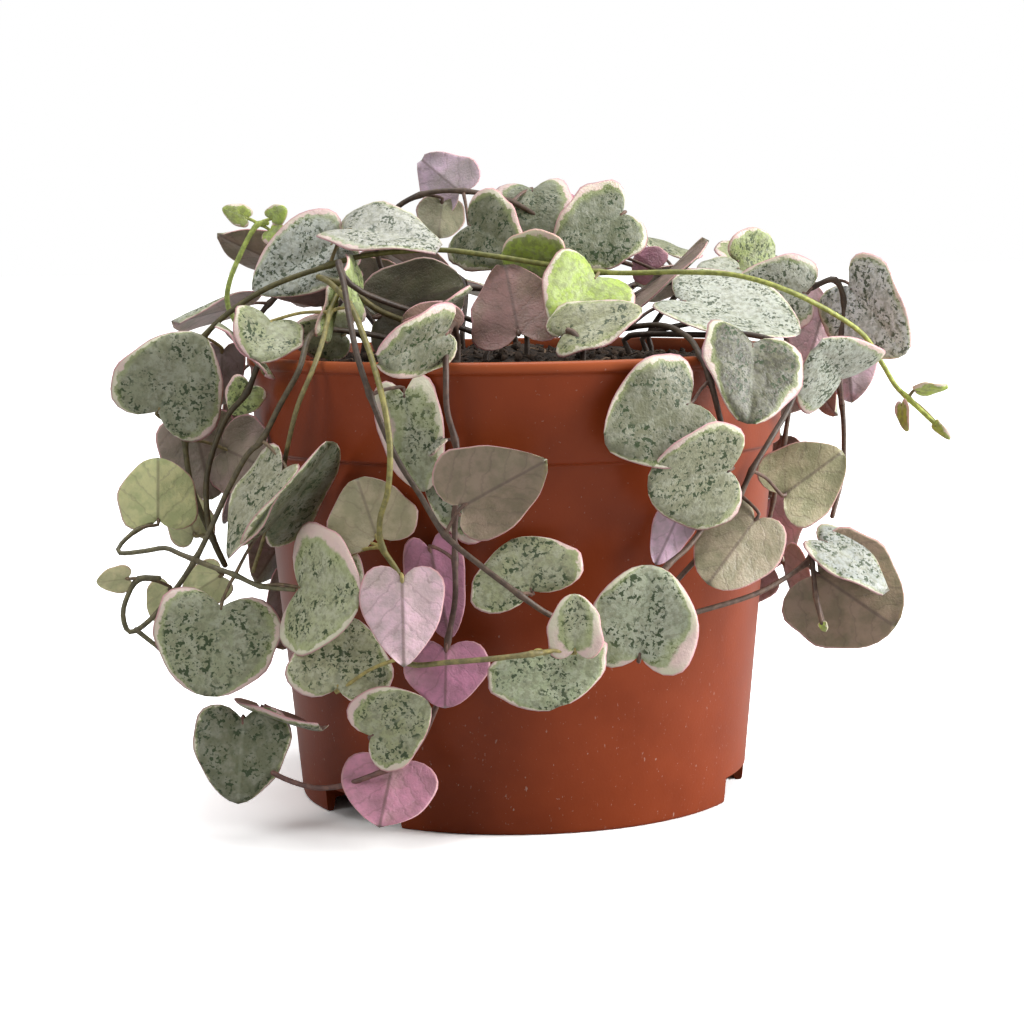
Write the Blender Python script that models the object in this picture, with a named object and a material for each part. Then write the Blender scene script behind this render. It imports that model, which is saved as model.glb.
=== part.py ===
"""String of hearts in a nursery pot: a thin plastic pot, its soil, and the leafy vines that stand in it.

Metres, +Z up. The origin is on the pot's axis where it stands, and -Y faces the viewer of the
photograph. Sizes below are in millimetres and become metres in mm() and mm_point().
"""

from collections import namedtuple
from math import cos, radians, sin, tau

import bmesh
import bpy
import numpy as np
from mathutils import Vector

MILLIMETRE = 0.001

# Pot: outer radii and heights, then the wall and the floor
POT_HEIGHT = 87.6
BASE_RADIUS = 44.3
WALL_TOP_RADIUS = 50.6
BAND_BOTTOM = 68.9
BAND_RADIUS = 51.9
LIP_RADIUS = 53.3
LIP_HEIGHT = 2.4
WALL = 1.5
FLOOR_UNDERSIDE = 2.5
FLOOR_TOP = 4.5
BOSS_RADIUS = 12.0
BOSS_TAPER = 0.8
FOOT_TAPER = 0.6
FOOT_EDGE = 0.3
EDGE = 0.5
BAND_TAPER = 0.7
LIP_INSET = 0.4
BAND_STEP = 1.0
POT_SIDES = 40

# Drainage notches through the foot and the floor's edge
NOTCH_ANGLES = (-15, 105, 225)
NOTCH_WIDTH = 21.0
NOTCH_HEIGHT = 5.0
NOTCH_INNER_RADIUS = 34.0
NOTCH_OUTER_RADIUS = 48.3
NOTCH_BELOW = 2.0

# Soil: it stays this far from the pot and the stems
CLEARANCE = 0.3
SOIL_EDGE = 84.0
SOIL_DOME = 2.6
SOIL_LUMP = 0.7
SOIL_REACH = 50.0
LUMP_WAVES = ((0.31, 0.27), (0.71, 0.53))
LUMP_SHIFT = 1.3
LUMP_SHARE = 0.6
SOIL_RINGS = (0.985, 0.8, 0.55, 0.28)
BELOW_BAND = 1.4
ABOVE_BAND = 1.6
HOLE_DEPTH = 9.0
HOLE_ABOVE = 4.0
HOLE_SIDES = 6

# Stems and leaves
STEM_RADIUS = 0.95
STEM_TIP_RADIUS = 0.8
SHOOT_RADIUS = 0.66
PETIOLE_RADIUS = 0.52
STEM_STEP = 6.5
STEM_TAPER = 1.5
STEM_RISES = (1.0, 4.5)
RISEN_POINTS = 3
STEM_SIDES = 5
PETIOLE_STEP = 5.0
PETIOLE_SIDES = 3
LEAF_THICKNESS = 1.7
STALK_BACK = 0.4
STALK_UNDER = 2.1
ROOT_DEPTH = 8.0

# Vines grown by rule round the sides and back: their angles, and shares of the stem that have leaves
SEED = 1752
GROWN_ANGLES = (24, 46, 68, 90, 112, 134, 156)
GROWN_NODES = (0.08, 0.3, 0.5, 0.7, 0.88, 1.0)
GROWN_DROP = (28, 62)
GROWN_SWAY = 0.16
GROWN_CREST = (96, 104)
GROWN_REACHES = (37, 50, 60)
BEFORE_CREST = 2
SHOULDER_DROP = 9
ROUTE_STEP = 14
HANGING_REACH = 62
HANGING_SWING = 2.5
ROOT_REACHES = (24, 30)
GROWN_TRIES = 14

# Grown leaves: sizes, how far they stand off the stem, and the ways they point
GROWN_LEAF = (13.0, 19.0)
GROWN_BREADTH = (0.95, 1.15)
GROWN_FOLD = (4, 14)
OFF_ASIDE = (3.5, 5.5)
OFF_OUTWARD = (1.0, 3.5)
OFF_UP = (2.0, 6.0)
CROWN_OUTWARD = (0.2, 0.9)
CROWN_ASIDE = (0.5, 1.0)
CROWN_UP = (-0.2, 0.6)
HANGING_ASIDE = (0.1, 0.9)
HANGING_OUTWARD = (-0.05, 0.35)
HANGING_TWIST = (-0.4, 0.4)
FACING_SHARE = 0.5

# Room that grown leaves and stems keep, and where a leaf is sampled for it
LEAF_GAP = 2.6
POT_GAP = 2.0
LOWEST_LEAF = 3.0
CROWN_ABOVE = 1.0
SAMPLE_STEP = 3
SAMPLE_HALF = 0.45
SAMPLE_SIDES = (-1, -0.5, 0, 0.5, 1)
SAMPLE_SHARES = (-0.1, 0.2, 0.5, 0.8, 1)
SAMPLE_CORNER = 0.7

# The picture plane goes through AIM, square to the viewer's line of sight
EYE_DISTANCE = 480.0
LOOK_DOWN = radians(6.5)
PICTURE_ROLL = radians(-0.89)
AIM = np.array((-1.4, 0.0, 55.0))
AHEAD = np.array((0.0, cos(LOOK_DOWN), -sin(LOOK_DOWN)))
LEVEL_UP = np.array((0.0, sin(LOOK_DOWN), cos(LOOK_DOWN)))
LEVEL_RIGHT = np.array((1.0, 0.0, 0.0))
RIGHT = LEVEL_RIGHT * cos(PICTURE_ROLL) + LEVEL_UP * sin(PICTURE_ROLL)
UP = LEVEL_UP * cos(PICTURE_ROLL) - LEVEL_RIGHT * sin(PICTURE_ROLL)
EYE = AIM - AHEAD * EYE_DISTANCE

# One half of a heart from its notch to its tip: across and along, for a leaf one long
HEART_HALF = ((0.0, 0.0), (0.2, -0.17), (0.43, -0.09), (0.53, 0.18), (0.44, 0.5), (0.22, 0.82), (0.0, 1.0))
MIDRIB = (0.3, 0.58, 0.82)

# A leaf's base and tip are points as seen() takes them. turn rolls it about its midrib: at 0 its
# upper side faces the viewer, at 180 its underside. breadth is its width over that of HEART_HALF.
Leaf = namedtuple("Leaf", "base tip turn breadth fold")
# A vine's root is where it stands in the soil. Its route and its shoots are points for seen().
Vine = namedtuple("Vine", "root route shoots leaves")
# The same in the pot's own millimetres, which the grown vines have from the start
Blade = namedtuple("Blade", "base tip upper breadth fold")
Plant = namedtuple("Plant", "root route shoots blades")

VINES = {
    "vine_arch": Vine(
        (-30, -8),
        [(-36, 36.5, 14), (-44, 36.5, 24), (-49.5, 32, 31), (-53, 24, 31), (-57.4, 18.4, 30),
         (-60.8, 8.4, 30), (-61, 0, 30), (-59.8, -5.6, 29), (-57.4, -10.6, 27), (-60, -5, 24),
         (-62.4, 0.4, 23), (-64.4, 6.4, 22), (-65.4, 14.4, 21), (-65, 24, 20), (-61.8, 34.8, 22),
         (-50.4, 44, 24), (-36.4, 49.4, 24), (-27.4, 51.6, 24), (-14.4, 52.4, 24), (-2.4, 51, 24),
         (17.6, 48, 25), (33.6, 48, 27), (45.6, 47.2, 27), (57.6, 43.2, 24), (69.2, 36.4, 16),
         (73.6, 30.4, 10), (76.6, 25.4, 9), (79.2, 22.8, 9), (86.4, 16, 9)],
        [],
        [Leaf((-71, 19.8, 26), (-62.2, 35.6, 30), 0, 1.15, 8),
         Leaf((-58, 32.4, 15), (-58, 21.4, 13), 180, 0.8, 10),
         Leaf((-33.4, 56.6, 20), (-14, 53.8, 28), -60, 0.85, 20),
         Leaf((-35, 54, 18), (-52.2, 44.4, 19), 25, 0.85, 18),
         Leaf((17, 47.4, 27), (9.6, 35.6, 35), 0, 1.05, 16),
         Leaf((9.6, 50, 22), (-2.6, 50.6, 18), -30, 1.05, 10),
         Leaf((-49.4, 28.6, 37), (-58.6, 38.2, 34), 82, 0.7, 10),
         Leaf((-52.4, 25.2, 27), (-56, 19.4, 28), 0, 1.1, 5),
         Leaf((-63.4, 17.4, 15), (-60, 2.2, 17), 180, 1.0, 8),
         Leaf((-57, 12.4, 18), (-48.4, 8.4, 27), 180, 1.1, 8),
         Leaf((-63.4, -4.6, 19), (-67.4, 5.8, 18), 180, 0.8, 8),
         Leaf((-33.4, 35.4, 20), (-44.6, 35, 24), -30, 1.0, 6),
         Leaf((78, 21.6, 9), (78.8, 16, 10), 50, 0.7, 10),
         Leaf((81.2, 24.2, 10), (87.4, 24.8, 12), 60, 0.7, 10),
         Leaf((84.6, 17.4, 9), (87.6, 14.4, 10), 40, 0.6, 5)],
    ),
    "vine_hook": Vine(
        (-24, -14),
        [(-36, 36.5, 26), (-40.4, 35.2, 36), (-42.6, 28.4, 43), (-46.4, 21.4, 43), (-50, 14.4, 42),
         (-53, 11.4, 41), (-56.8, 4.4, 40), (-60.4, -3.6, 39), (-63.4, -9.6, 38), (-67.4, -15.6, 37),
         (-72.4, -21.6, 36), (-76.4, -24, 36), (-77.8, -20.6, 36), (-76.8, -16.6, 35),
         (-74.6, -13.4, 35), (-70.4, -13.2, 35)],
        [[(-63.4, -9.6, 38), (-66.4, -8.4, 37), (-69.4, -7.2, 36), (-73.4, -7.8, 35),
          (-78.4, -8.2, 34), (-78.2, -6.4, 32.5), (-75, -3.6, 30), (-72, -2.4, 28.6)],
         [(-63.4, -9.6, 38), (-60.4, -10.8, 41), (-55.4, -12.6, 43), (-50.4, -14.8, 45),
          (-43.4, -15.6, 46.5)],
         [(-75.4, -23.4, 36), (-71.6, -26.4, 36), (-69.4, -28.4, 36)]],
        [Leaf((-49.6, -4.4, 44), (-35.2, 14.2, 50), 66, 0.85, 12),
         Leaf((-45.8, 8.4, 47), (-58, -9, 46), 62, 0.85, 12),
         Leaf((-70.8, -2, 28), (-70.8, 11.2, 30), 180, 1.1, 8),
         Leaf((-76.8, -13.2, 35), (-83.2, -14, 35), 165, 0.85, 8),
         Leaf((-58, -12.6, 30), (-65.4, -17.2, 28), 180, 0.9, 8),
         Leaf((-68.4, -15.2, 29), (-71.4, -22, 28), 180, 1.0, 8),
         Leaf((-58, -18.2, 43), (-61.2, -37.2, 46), 0, 1.2, 8),
         Leaf((-43, -15, 47), (-31, -17.2, 60), 0, 1.25, 10)],
    ),
    "vine_yellow": Vine(
        (-12, -20),
        [(-26, 40, 28), (-33, 45, 30), (-38.8, 47, 31), (-36.4, 45.8, 34), (-32.4, 41.4, 41),
         (-29.6, 35, 49), (-27.4, 28.4, 55), (-25.4, 20.4, 60), (-24.4, 12.4, 60.5),
         (-24.8, 4.4, 60), (-26.4, -1.6, 57), (-26, -7, 55), (-22.6, -13, 54), (-22.4, -22, 55),
         (-21.8, -29, 56), (-19.4, -30.6, 58), (-12, -30, 63), (-4.4, -29.4, 65.5), (4, -28.4, 65),
         (9, -27.6, 62)],
        [[(-34, 45.4, 30), (-36.4, 40, 35), (-37.8, 34.4, 41), (-39.8, 28.6, 45),
          (-42.8, 21.4, 46.5), (-44.6, 14.4, 45), (-45.8, 8.4, 40), (-47, 3, 35), (-48.6, -2, 34),
          (-50.2, -7, 35), (-51.8, -12, 37)]],
        [Leaf((-27, -5.2, 51), (-31, 6.6, 48.5), 180, 1.35, 8),
         Leaf((-33.4, -9.6, 50), (-31, -17.6, 51), 0, 0.7, 8),
         Leaf((-32.4, -7.2, 46), (-38.4, -7.6, 44), -40, 0.8, 5),
         Leaf((-22, -13.4, 59.5), (-21.6, -31.2, 65), 180, 0.9, 10),
         Leaf((-35, -35.6, 52), (-32.4, -20.6, 50), 0, 1.3, 6),
         Leaf((12.6, -28, 62.5), (12.6, -16.2, 64.5), 0, 0.85, 8),
         Leaf((6.2, -28, 57.5), (9.6, -39, 63), 0, 1.8, 8),
         Leaf((-32.4, 41.4, 33), (-31, 51.8, 25), 60, 0.7, 14),
         Leaf((-37.4, 35.8, 33), (-35, 45.4, 31), 60, 0.65, 14),
         Leaf((-48, 38.4, 34), (-51.2, 30.8, 42), 0, 1.15, 14)],
    ),
    "vine_swag": Vine(
        (-6, -16),
        [(-30, 44, 36), (-34.6, 50, 38), (-33.6, 45.6, 44), (-32.6, 39.4, 50), (-31, 31.4, 55),
         (-28.4, 23.4, 56.5), (-25.4, 15.8, 56), (-22.4, 9.6, 56), (-18.4, 3.4, 57),
         (-13.4, -4.6, 59.5), (-6.4, -10.6, 60), (1.6, -16.6, 60), (7.6, -20.6, 58),
         (13, -22.4, 55.5), (20, -23, 52.5), (28, -22.4, 50), (37, -20, 47), (49.6, -16, 42),
         (58.6, -10.4, 36.5), (61.4, -7.4, 34.5)],
        [[(60, -9, 36), (60.8, -17, 38), (62, -22.4, 38.5)]],
        [Leaf((-21.8, 24.4, 54), (-17.6, 3.6, 53), 14, 0.6, 8),
         Leaf((-9.8, 1.4, 60.5), (7, 11.2, 64), 200, 1.1, 22),
         Leaf((4, -16, 55.5), (-0.2, -5.2, 52.5), 0, 1.85, 8),
         Leaf((62, -5.6, 35), (76, -15.2, 38), -55, 0.85, 10),
         Leaf((60.6, -12, 33), (77, -23.2, 34), 180, 1.15, 12),
         Leaf((62, -22.2, 38.4), (62.8, -24, 38.4), 30, 1.0, 0)],
    ),
    "vine_pink": Vine(
        (-11, -30),
        [(-11.6, 37.4, 39), (-12.4, 36.6, 46), (-13.2, 33, 54.5), (-13.2, 27, 58.5), (-13, 20.4, 58),
         (-11.4, 14.4, 56), (-10.6, 8, 55.5), (-11.4, -0.6, 53.6), (-11.4, -9.6, 53.8),
         (-11.4, -17.6, 54), (-12.8, -25.6, 53.6), (-13.8, -33, 52.5), (-15.4, -39.6, 50),
         (-20.4, -48.6, 49), (-30.4, -53.6, 48), (-38.4, -55.2, 44), (-45.8, -53.2, 40),
         (-50.4, -50, 37), (-52.4, -46, 35.4)],
        [],
        [Leaf((-14, 14.6, 56), (-17, 11.4, 57), 60, 0.7, 5),
         Leaf((-16.4, -7.2, 50), (-12.4, -25.6, 49.6), 180, 0.6, 5),
         Leaf((-13.2, -27.4, 53.5), (-13.4, -39.4, 56), 180, 1.35, 8),
         Leaf((-28.4, -45, 53), (-17, -38, 57), 0, 1.1, 6),
         Leaf((-24, -51, 45), (-26.6, -63.4, 52), 180, 1.3, 8),
         Leaf((-53.8, -41.2, 39), (-54.8, -58.6, 41), 0, 1.05, 6),
         Leaf((-50, -39.6, 32), (-38, -44.6, 43), 95, 0.85, 6),
         Leaf((-11.4, 36, 31), (-22.4, 38.4, 32), 180, 0.9, 8),
         Leaf((-20, 38, 38), (-7.4, 44.4, 38), 84, 0.7, 6),
         Leaf((-12.4, 36, 58), (-26.8, 29.6, 66), -40, 0.8, 10),
         Leaf((-5.4, -1.2, 51), (-17.4, 6.8, 50.4), 0, 0.85, 5)],
    ),
    "vine_right_inner": Vine(
        (12, -18),
        [(28, 37.4, 32), (34.6, 35.4, 39), (37.6, 31.4, 46.5), (39.6, 26.4, 48), (41.2, 20.4, 46.5),
         (42.4, 14.4, 44), (42, 6.4, 43), (39.6, -0.6, 45), (35.6, -6.6, 48), (31.2, -10.6, 50.5),
         (27.6, -15, 52.5)],
        [],
        [Leaf((48, 34, 43), (47.6, 18, 51), -28, 1.15, 8),
         Leaf((36, 22, 51), (18.8, 13.8, 58), 0, 1.05, 8),
         Leaf((44.2, 8.4, 49), (27, 5, 55), -28, 1.1, 8),
         Leaf((33.6, 0, 45), (28.6, -10.8, 46.5), 180, 0.65, 8),
         Leaf((25.4, -29.6, 56), (28, -10.2, 56), 0, 1.05, 12),
         Leaf((33, 42.4, 18), (58.2, 35.8, 24), -62, 0.95, 12)],
    ),
    "vine_right_outer": Vine(
        (22, -10),
        [(40, 35.4, 28), (48, 35.4, 32), (54.4, 33, 33), (57, 27.4, 34), (55.6, 21.4, 35),
         (51.6, 14.4, 39), (48, 8.4, 41), (45.6, 3.4, 41), (41.6, -3.4, 42), (37.6, -8.6, 43.5),
         (33.6, -13, 46), (30.6, -16.6, 48)],
        [],
        [Leaf((49, -1, 42), (38.6, -15.2, 48), 180, 0.85, 10),
         Leaf((54.2, 3.4, 32), (66, 12, 29), 180, 1.05, 12)],
    ),
    "vine_right_node": Vine(
        (26, 2),
        [(40, 38.6, 6), (50, 41, 3), (60, 45, 3), (64.6, 46.4, 4), (66.4, 42, 3), (66, 36, 3),
         (64.6, 29.4, 3), (66, 21.4, 4), (66.4, 14, 5), (66, 7, 6), (64, -1, 8)],
        [],
        [Leaf((59, 43.8, 6), (45, 45.4, 9), 0, 0.95, 10),
         Leaf((67.2, 45.4, 3), (78.6, 31.4, 10), 25, 0.95, 12),
         Leaf((63, 42.4, -2), (58.6, 28, 0), 180, 0.85, 8),
         Leaf((67, 34.8, -2), (68, 21.6, 0), 180, 0.85, 8),
         Leaf((66, 26.4, 20), (61.6, 32.4, 34), 0, 1.15, 14)],
    ),
    "vine_crown": Vine(
        (-6, 14),
        [(-22, 44, -8), (-27, 52, -4), (-24.4, 59.4, 1), (-18.4, 63.4, 3), (-9.8, 64.2, 3),
         (0, 62, 0), (8, 57, -2), (16, 52, -4), (24, 49.4, -5)],
        [],
        [Leaf((-10.4, 64, 1), (-18, 70.4, -4), 180, 1.05, 12),
         Leaf((-14, 62, 1), (-14.8, 54.2, 5), 180, 1.0, 14),
         Leaf((-8.8, 57.6, 7), (1.4, 51.8, 17), 0, 1.0, 8),
         Leaf((4, 64.8, -4), (5.2, 52.6, 3), 0, 1.0, 8),
         Leaf((10.8, 62.4, -4), (14.6, 61.2, -7), 120, 1.0, 8),
         Leaf((22.6, 60, 0), (8.8, 51.4, 5), 0, 0.9, 8),
         Leaf((28.6, 48.4, -4), (24.8, 51.8, -7), 180, 1.3, 8)],
    ),
    "vine_crown_right": Vine(
        (14, 12),
        [(20, 41, -6), (28, 44.6, -2), (35, 47, 1), (42, 48.6, 2)],
        [],
        [Leaf((24, 41.6, 0), (40.2, 53.6, 0), 100, 0.7, 8),
         Leaf((45.6, 48.6, 5), (37, 48.2, 9), 55, 0.9, 8),
         Leaf((44.6, 50, 0), (53, 53.4, -4), 20, 1.05, 10)],
    ),
    "vine_centre": Vine(
        (2, -8),
        [(2, 38, 16), (0, 42, 14), (-6, 44.6, 12), (-14, 44, 10), (-22, 41, 9)],
        [],
        [Leaf((-27, 38.8, 12), (-9.2, 45.4, 19), 160, 0.95, 14),
         Leaf((1.4, 35.4, 30), (-1.4, 49.6, 23), 180, 1.05, 14)],
    ),
    "vine_front": Vine(
        (12, -37),
        [(12, 36, 39), (11, 36.4, 39)],
        [],
        [Leaf((10, 35.4, 38), (26, 41.6, 38), -45, 0.8, 10)],
    ),
    "vine_young": Vine(
        (-38, 2),
        [(-46, 36, 6), (-53.4, 36.4, 9), (-56, 39.4, 10), (-57, 42.4, 10.5), (-56.4, 46.4, 11),
         (-54.4, 51.4, 11), (-52.4, 55.4, 11), (-50.8, 57.6, 11), (-48.8, 57.8, 11)],
        [],
        [Leaf((-53, 58.8, 12), (-58, 60.8, 13), 0, 0.8, 8),
         Leaf((-48.2, 58.6, 12), (-45.2, 61, 13), 10, 1.0, 8),
         Leaf((-48.4, 56.4, 11), (-45.4, 53.6, 13), 0, 1.0, 8)],
    ),
}


def mm(length):
    return length * MILLIMETRE


def mm_point(point):
    return Vector(tuple(float(value) * MILLIMETRE for value in point))


def seen(across, up, toward):
    """The point in mm seen this far right of and above the picture's middle, and this much nearer."""
    on_plane = AIM + RIGHT * across + UP * up
    return EYE + (on_plane - EYE) * (1 - toward / EYE_DISTANCE)


def unit(vector):
    return vector / max(np.linalg.norm(vector), 1e-9)


def smooth(points, step):
    """Points about a step apart on the Catmull-Rom curve through these."""
    points = [np.asarray(point, float) for point in points]
    ends = [2 * points[0] - points[1]] + points + [2 * points[-1] - points[-2]]
    curve = []
    for before, start, end, after in zip(ends, ends[1:], ends[2:], ends[3:]):
        count = max(1, round(np.linalg.norm(end - start) / step))
        for index in range(count):
            t = index / count
            curve.append(
                0.5 * (2 * start + (end - before) * t
                       + (2 * before - 5 * start + 4 * end - after) * t * t
                       + (3 * start - before - 3 * end + after) * t ** 3)
            )
    return curve + [points[-1]]


def tube(bm, points, radii, sides):
    """A closed tube along points, with a flat cap at each end."""
    rings = []
    side = None
    for index, point in enumerate(points):
        nearby = points[min(index + 1, len(points) - 1)] - points[max(index - 1, 0)]
        along = unit(nearby)
        if side is None:
            side = np.cross(along, (0.31, 0.83, 0.46))
        side = unit(side - along * side.dot(along))
        other = np.cross(along, side)
        ring = []
        for corner in range(sides):
            angle = tau * corner / sides
            offset = side * cos(angle) + other * sin(angle)
            ring.append(bm.verts.new(mm_point(point + offset * radii[index])))
        rings.append(ring)
    for ring, following in zip(rings, rings[1:]):
        for a in range(sides):
            b = (a + 1) % sides
            bm.faces.new((ring[a], ring[b], following[b], following[a]))
    bm.faces.new(rings[0][::-1])
    bm.faces.new(rings[-1])


def laid_out(vine):
    """A vine of the table, with its points and its leaves' upper sides worked out."""
    blades = []
    for leaf in vine.leaves:
        base = seen(*leaf.base)
        tip = seen(*leaf.tip)
        along = unit(tip - base)
        to_eye = unit(EYE - base)
        facing = unit(to_eye - along * to_eye.dot(along))
        angle = radians(leaf.turn)
        upper = facing * cos(angle) + np.cross(along, facing) * sin(angle)
        blades.append(Blade(base, tip, upper, leaf.breadth, leaf.fold))
    route = [seen(*point) for point in vine.route]
    shoots = [[seen(*point) for point in shoot] for shoot in vine.shoots]
    return Plant(vine.root, route, shoots, blades)


def blade_frame(blade):
    """A blade's length in mm and its axes: across, along and out of its upper side."""
    along = unit(blade.tip - blade.base)
    upper = unit(blade.upper - along * blade.upper.dot(along))
    return np.linalg.norm(blade.tip - blade.base), np.cross(along, upper), along, upper


def blade_point(blade, x, y, z=0.0):
    """The point of a blade at x across and y along it, with both halves folded up along its midrib."""
    _, across, along, upper = blade_frame(blade)
    fold = radians(blade.fold)
    return blade.base + across * x * cos(fold) + along * y + upper * (abs(x) * sin(fold) + z)


def leaf_body(bm, blade):
    """A heart-shaped blade, thickest along its midrib, its halves folded up along it."""
    length = blade_frame(blade)[0]

    def corner(x, y, z=0.0):
        return bm.verts.new(mm_point(blade_point(blade, x * length * blade.breadth, y * length, z)))

    notch = corner(*HEART_HALF[0])
    tip = corner(*HEART_HALF[-1])
    edges = [[corner(side * x, y) for x, y in HEART_HALF[1:-1]] for side in (1, -1)]
    for face in (1, -1):
        rib = [corner(0, y, face * LEAF_THICKNESS / 2) for y in MIDRIB]
        for side, edge in zip((1, -1), edges):
            fan(bm, [notch] + rib + [tip], [notch] + edge + [tip], face * side)


def fan(bm, inner, outer, order):
    """Triangles between two chains of corners that share both ends."""
    i = j = 0
    while i < len(inner) - 2 or j < len(outer) - 2:
        ahead_inner = (i + 1) / (len(inner) - 1)
        ahead_outer = (j + 1) / (len(outer) - 1)
        if j < len(outer) - 2 and (ahead_outer <= ahead_inner or i == len(inner) - 2):
            corners = (inner[i], outer[j], outer[j + 1])
            j += 1
        else:
            corners = (inner[i], outer[j], inner[i + 1])
            i += 1
        add_triangle(bm, corners, order)
    add_triangle(bm, (inner[i], outer[j], inner[-1]), order)


def add_triangle(bm, corners, order):
    if len(set(corners)) == 3:
        bm.faces.new(corners if order > 0 else corners[::-1])


def stalk_points(blade, stem):
    """The stalk's way from the nearest point of the stem into the blade's midrib, mostly from underneath."""
    length, _, along, upper = blade_frame(blade)
    start = min(stem, key=lambda point: np.linalg.norm(point - blade.base))
    end = blade.base + along * MIDRIB[0] * length
    below = (start - blade.base).dot(upper) < -STALK_UNDER / 2
    beyond = (start - blade.base).dot(along) > 0
    if below or beyond:
        return [start, start * 0.5 + end * 0.5, end]
    under = blade.base - along * STALK_BACK - upper * STALK_UNDER
    return [start, (start + under) / 2, under, end]


def petiole_body(bm, blade, stem):
    points = smooth(stalk_points(blade, stem), PETIOLE_STEP)
    tube(bm, points, [PETIOLE_RADIUS] * len(points), PETIOLE_SIDES)


def mesh_object(name, bm, material):
    bmesh.ops.recalc_face_normals(bm, faces=bm.faces)
    mesh = bpy.data.meshes.new(name)
    bm.to_mesh(mesh)
    bm.free()
    mesh.materials.append(material)
    thing = bpy.data.objects.new(name, mesh)
    bpy.context.scene.collection.objects.link(thing)
    return thing


def soil_height(x, y):
    """Height in mm of the soil's top: a low dome with lumps of two sizes."""
    reach = min(1.0, (x * x + y * y) ** 0.5 / SOIL_REACH)
    (wide_x, wide_y), (fine_x, fine_y) = LUMP_WAVES
    lumps = sin(x * wide_x + LUMP_SHIFT) * cos(y * wide_y) + LUMP_SHARE * sin(x * fine_x - y * fine_y)
    return SOIL_EDGE + SOIL_DOME * (1 - reach * reach) + SOIL_LUMP * lumps * (1 - reach ** 4)


def stem_points(plant):
    """The main stem: straight up out of its hole, then along its route."""
    x, y = plant.root
    top = soil_height(x, y)
    foot = np.array((x, y, top - ROOT_DEPTH))
    risen = [np.array((x, y, top + rise)) for rise in STEM_RISES]
    return [foot] + smooth(risen + plant.route, STEM_STEP)


def tapered(count, thick, thin):
    return [thick + (thin - thick) * (index / (count - 1)) ** STEM_TAPER for index in range(count)]


def vine_object(name, plant, material):
    """One leafy stem: its stem, shoots, stalks and leaves joined into one body."""
    main = stem_points(plant)
    bm = bmesh.new()
    tube(bm, main, tapered(len(main), STEM_RADIUS, STEM_TIP_RADIUS), STEM_SIDES)
    stem = mesh_object(name, bm, material)
    extras = bpy.data.collections.new(name + "_extras")
    bpy.context.scene.collection.children.link(extras)
    everywhere = list(main[RISEN_POINTS:-1])
    for index, shoot in enumerate(plant.shoots):
        points = smooth(shoot, STEM_STEP)
        everywhere += points[1:-1]
        bm = bmesh.new()
        tube(bm, points, tapered(len(points), SHOOT_RADIUS, PETIOLE_RADIUS), PETIOLE_SIDES)
        join_later(mesh_object(f"{name}_shoot_{index}", bm, material), extras)
    for index, blade in enumerate(plant.blades):
        bm = bmesh.new()
        leaf_body(bm, blade)
        join_later(mesh_object(f"{name}_leaf_{index}", bm, material), extras)
        bm = bmesh.new()
        petiole_body(bm, blade, everywhere)
        join_later(mesh_object(f"{name}_stalk_{index}", bm, material), extras)
    union(stem, extras)
    keep_largest_body(stem)
    return stem


def keep_largest_body(thing):
    """Drops the loose scraps and sealed hollows that a union can leave."""
    bm = bmesh.new()
    bm.from_mesh(thing.data)
    left = set(bm.verts)
    bodies = []
    while left:
        body = {left.pop()}
        edge = set(body)
        while edge:
            edge = {e.other_vert(v) for v in edge for e in v.link_edges} - body
            body |= edge
        left -= body
        bodies.append(body)
    largest = max(bodies, key=len)
    loose = [vertex for body in bodies if body is not largest for vertex in body]
    bmesh.ops.delete(bm, geom=loose, context="VERTS")
    bm.to_mesh(thing.data)
    bm.free()


def join_later(thing, collection):
    bpy.context.scene.collection.objects.unlink(thing)
    collection.objects.link(thing)


def union(target, collection):
    """Joins a collection's objects to the target, applies the modifier and removes the objects."""
    modifier = target.modifiers.new("joined", "BOOLEAN")
    modifier.operation = "UNION"
    modifier.operand_type = "COLLECTION"
    modifier.collection = collection
    modifier.solver = "EXACT"
    apply_modifiers(target)
    for thing in list(collection.objects):
        bpy.data.objects.remove(thing, do_unlink=True)
    bpy.data.collections.remove(collection)


def apply_modifiers(thing):
    graph = bpy.context.evaluated_depsgraph_get()
    mesh = bpy.data.meshes.new_from_object(thing.evaluated_get(graph))
    thing.modifiers.clear()
    thing.data = mesh


def material(name, colour, roughness):
    made = bpy.data.materials.new(name)
    made.use_nodes = True
    shader = made.node_tree.nodes["Principled BSDF"]
    shader.inputs["Base Color"].default_value = (*colour, 1.0)
    shader.inputs["Roughness"].default_value = roughness
    shader.inputs["Metallic"].default_value = 0.0
    return made


def turned(profile, sides):
    """A closed body turned about Z from a profile of radius and height that starts and ends on the axis."""
    bm = bmesh.new()
    rings = []
    for radius, height in profile:
        if radius == 0:
            rings.append([bm.verts.new(mm_point((0, 0, height)))])
            continue
        ring = []
        for index in range(sides):
            angle = tau * index / sides
            ring.append(bm.verts.new(mm_point((radius * cos(angle), radius * sin(angle), height))))
        rings.append(ring)
    for lower, upper in zip(rings, rings[1:]):
        for a in range(sides):
            b = (a + 1) % sides
            if len(lower) == 1:
                bm.faces.new((lower[0], upper[b], upper[a]))
            elif len(upper) == 1:
                bm.faces.new((lower[a], lower[b], upper[0]))
            else:
                bm.faces.new((lower[a], lower[b], upper[b], upper[a]))
    return bm


def pot_inner_radius(height):
    """The inside radius of the pot at a height, below and above the step under its band."""
    if height < BAND_BOTTOM:
        slope = (WALL_TOP_RADIUS - BASE_RADIUS) / BAND_BOTTOM
        return BASE_RADIUS + slope * height - WALL
    slope = (LIP_RADIUS - BAND_RADIUS - BAND_TAPER) / (POT_HEIGHT - BAND_BOTTOM)
    return BAND_RADIUS + slope * (height - BAND_BOTTOM) - WALL


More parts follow.
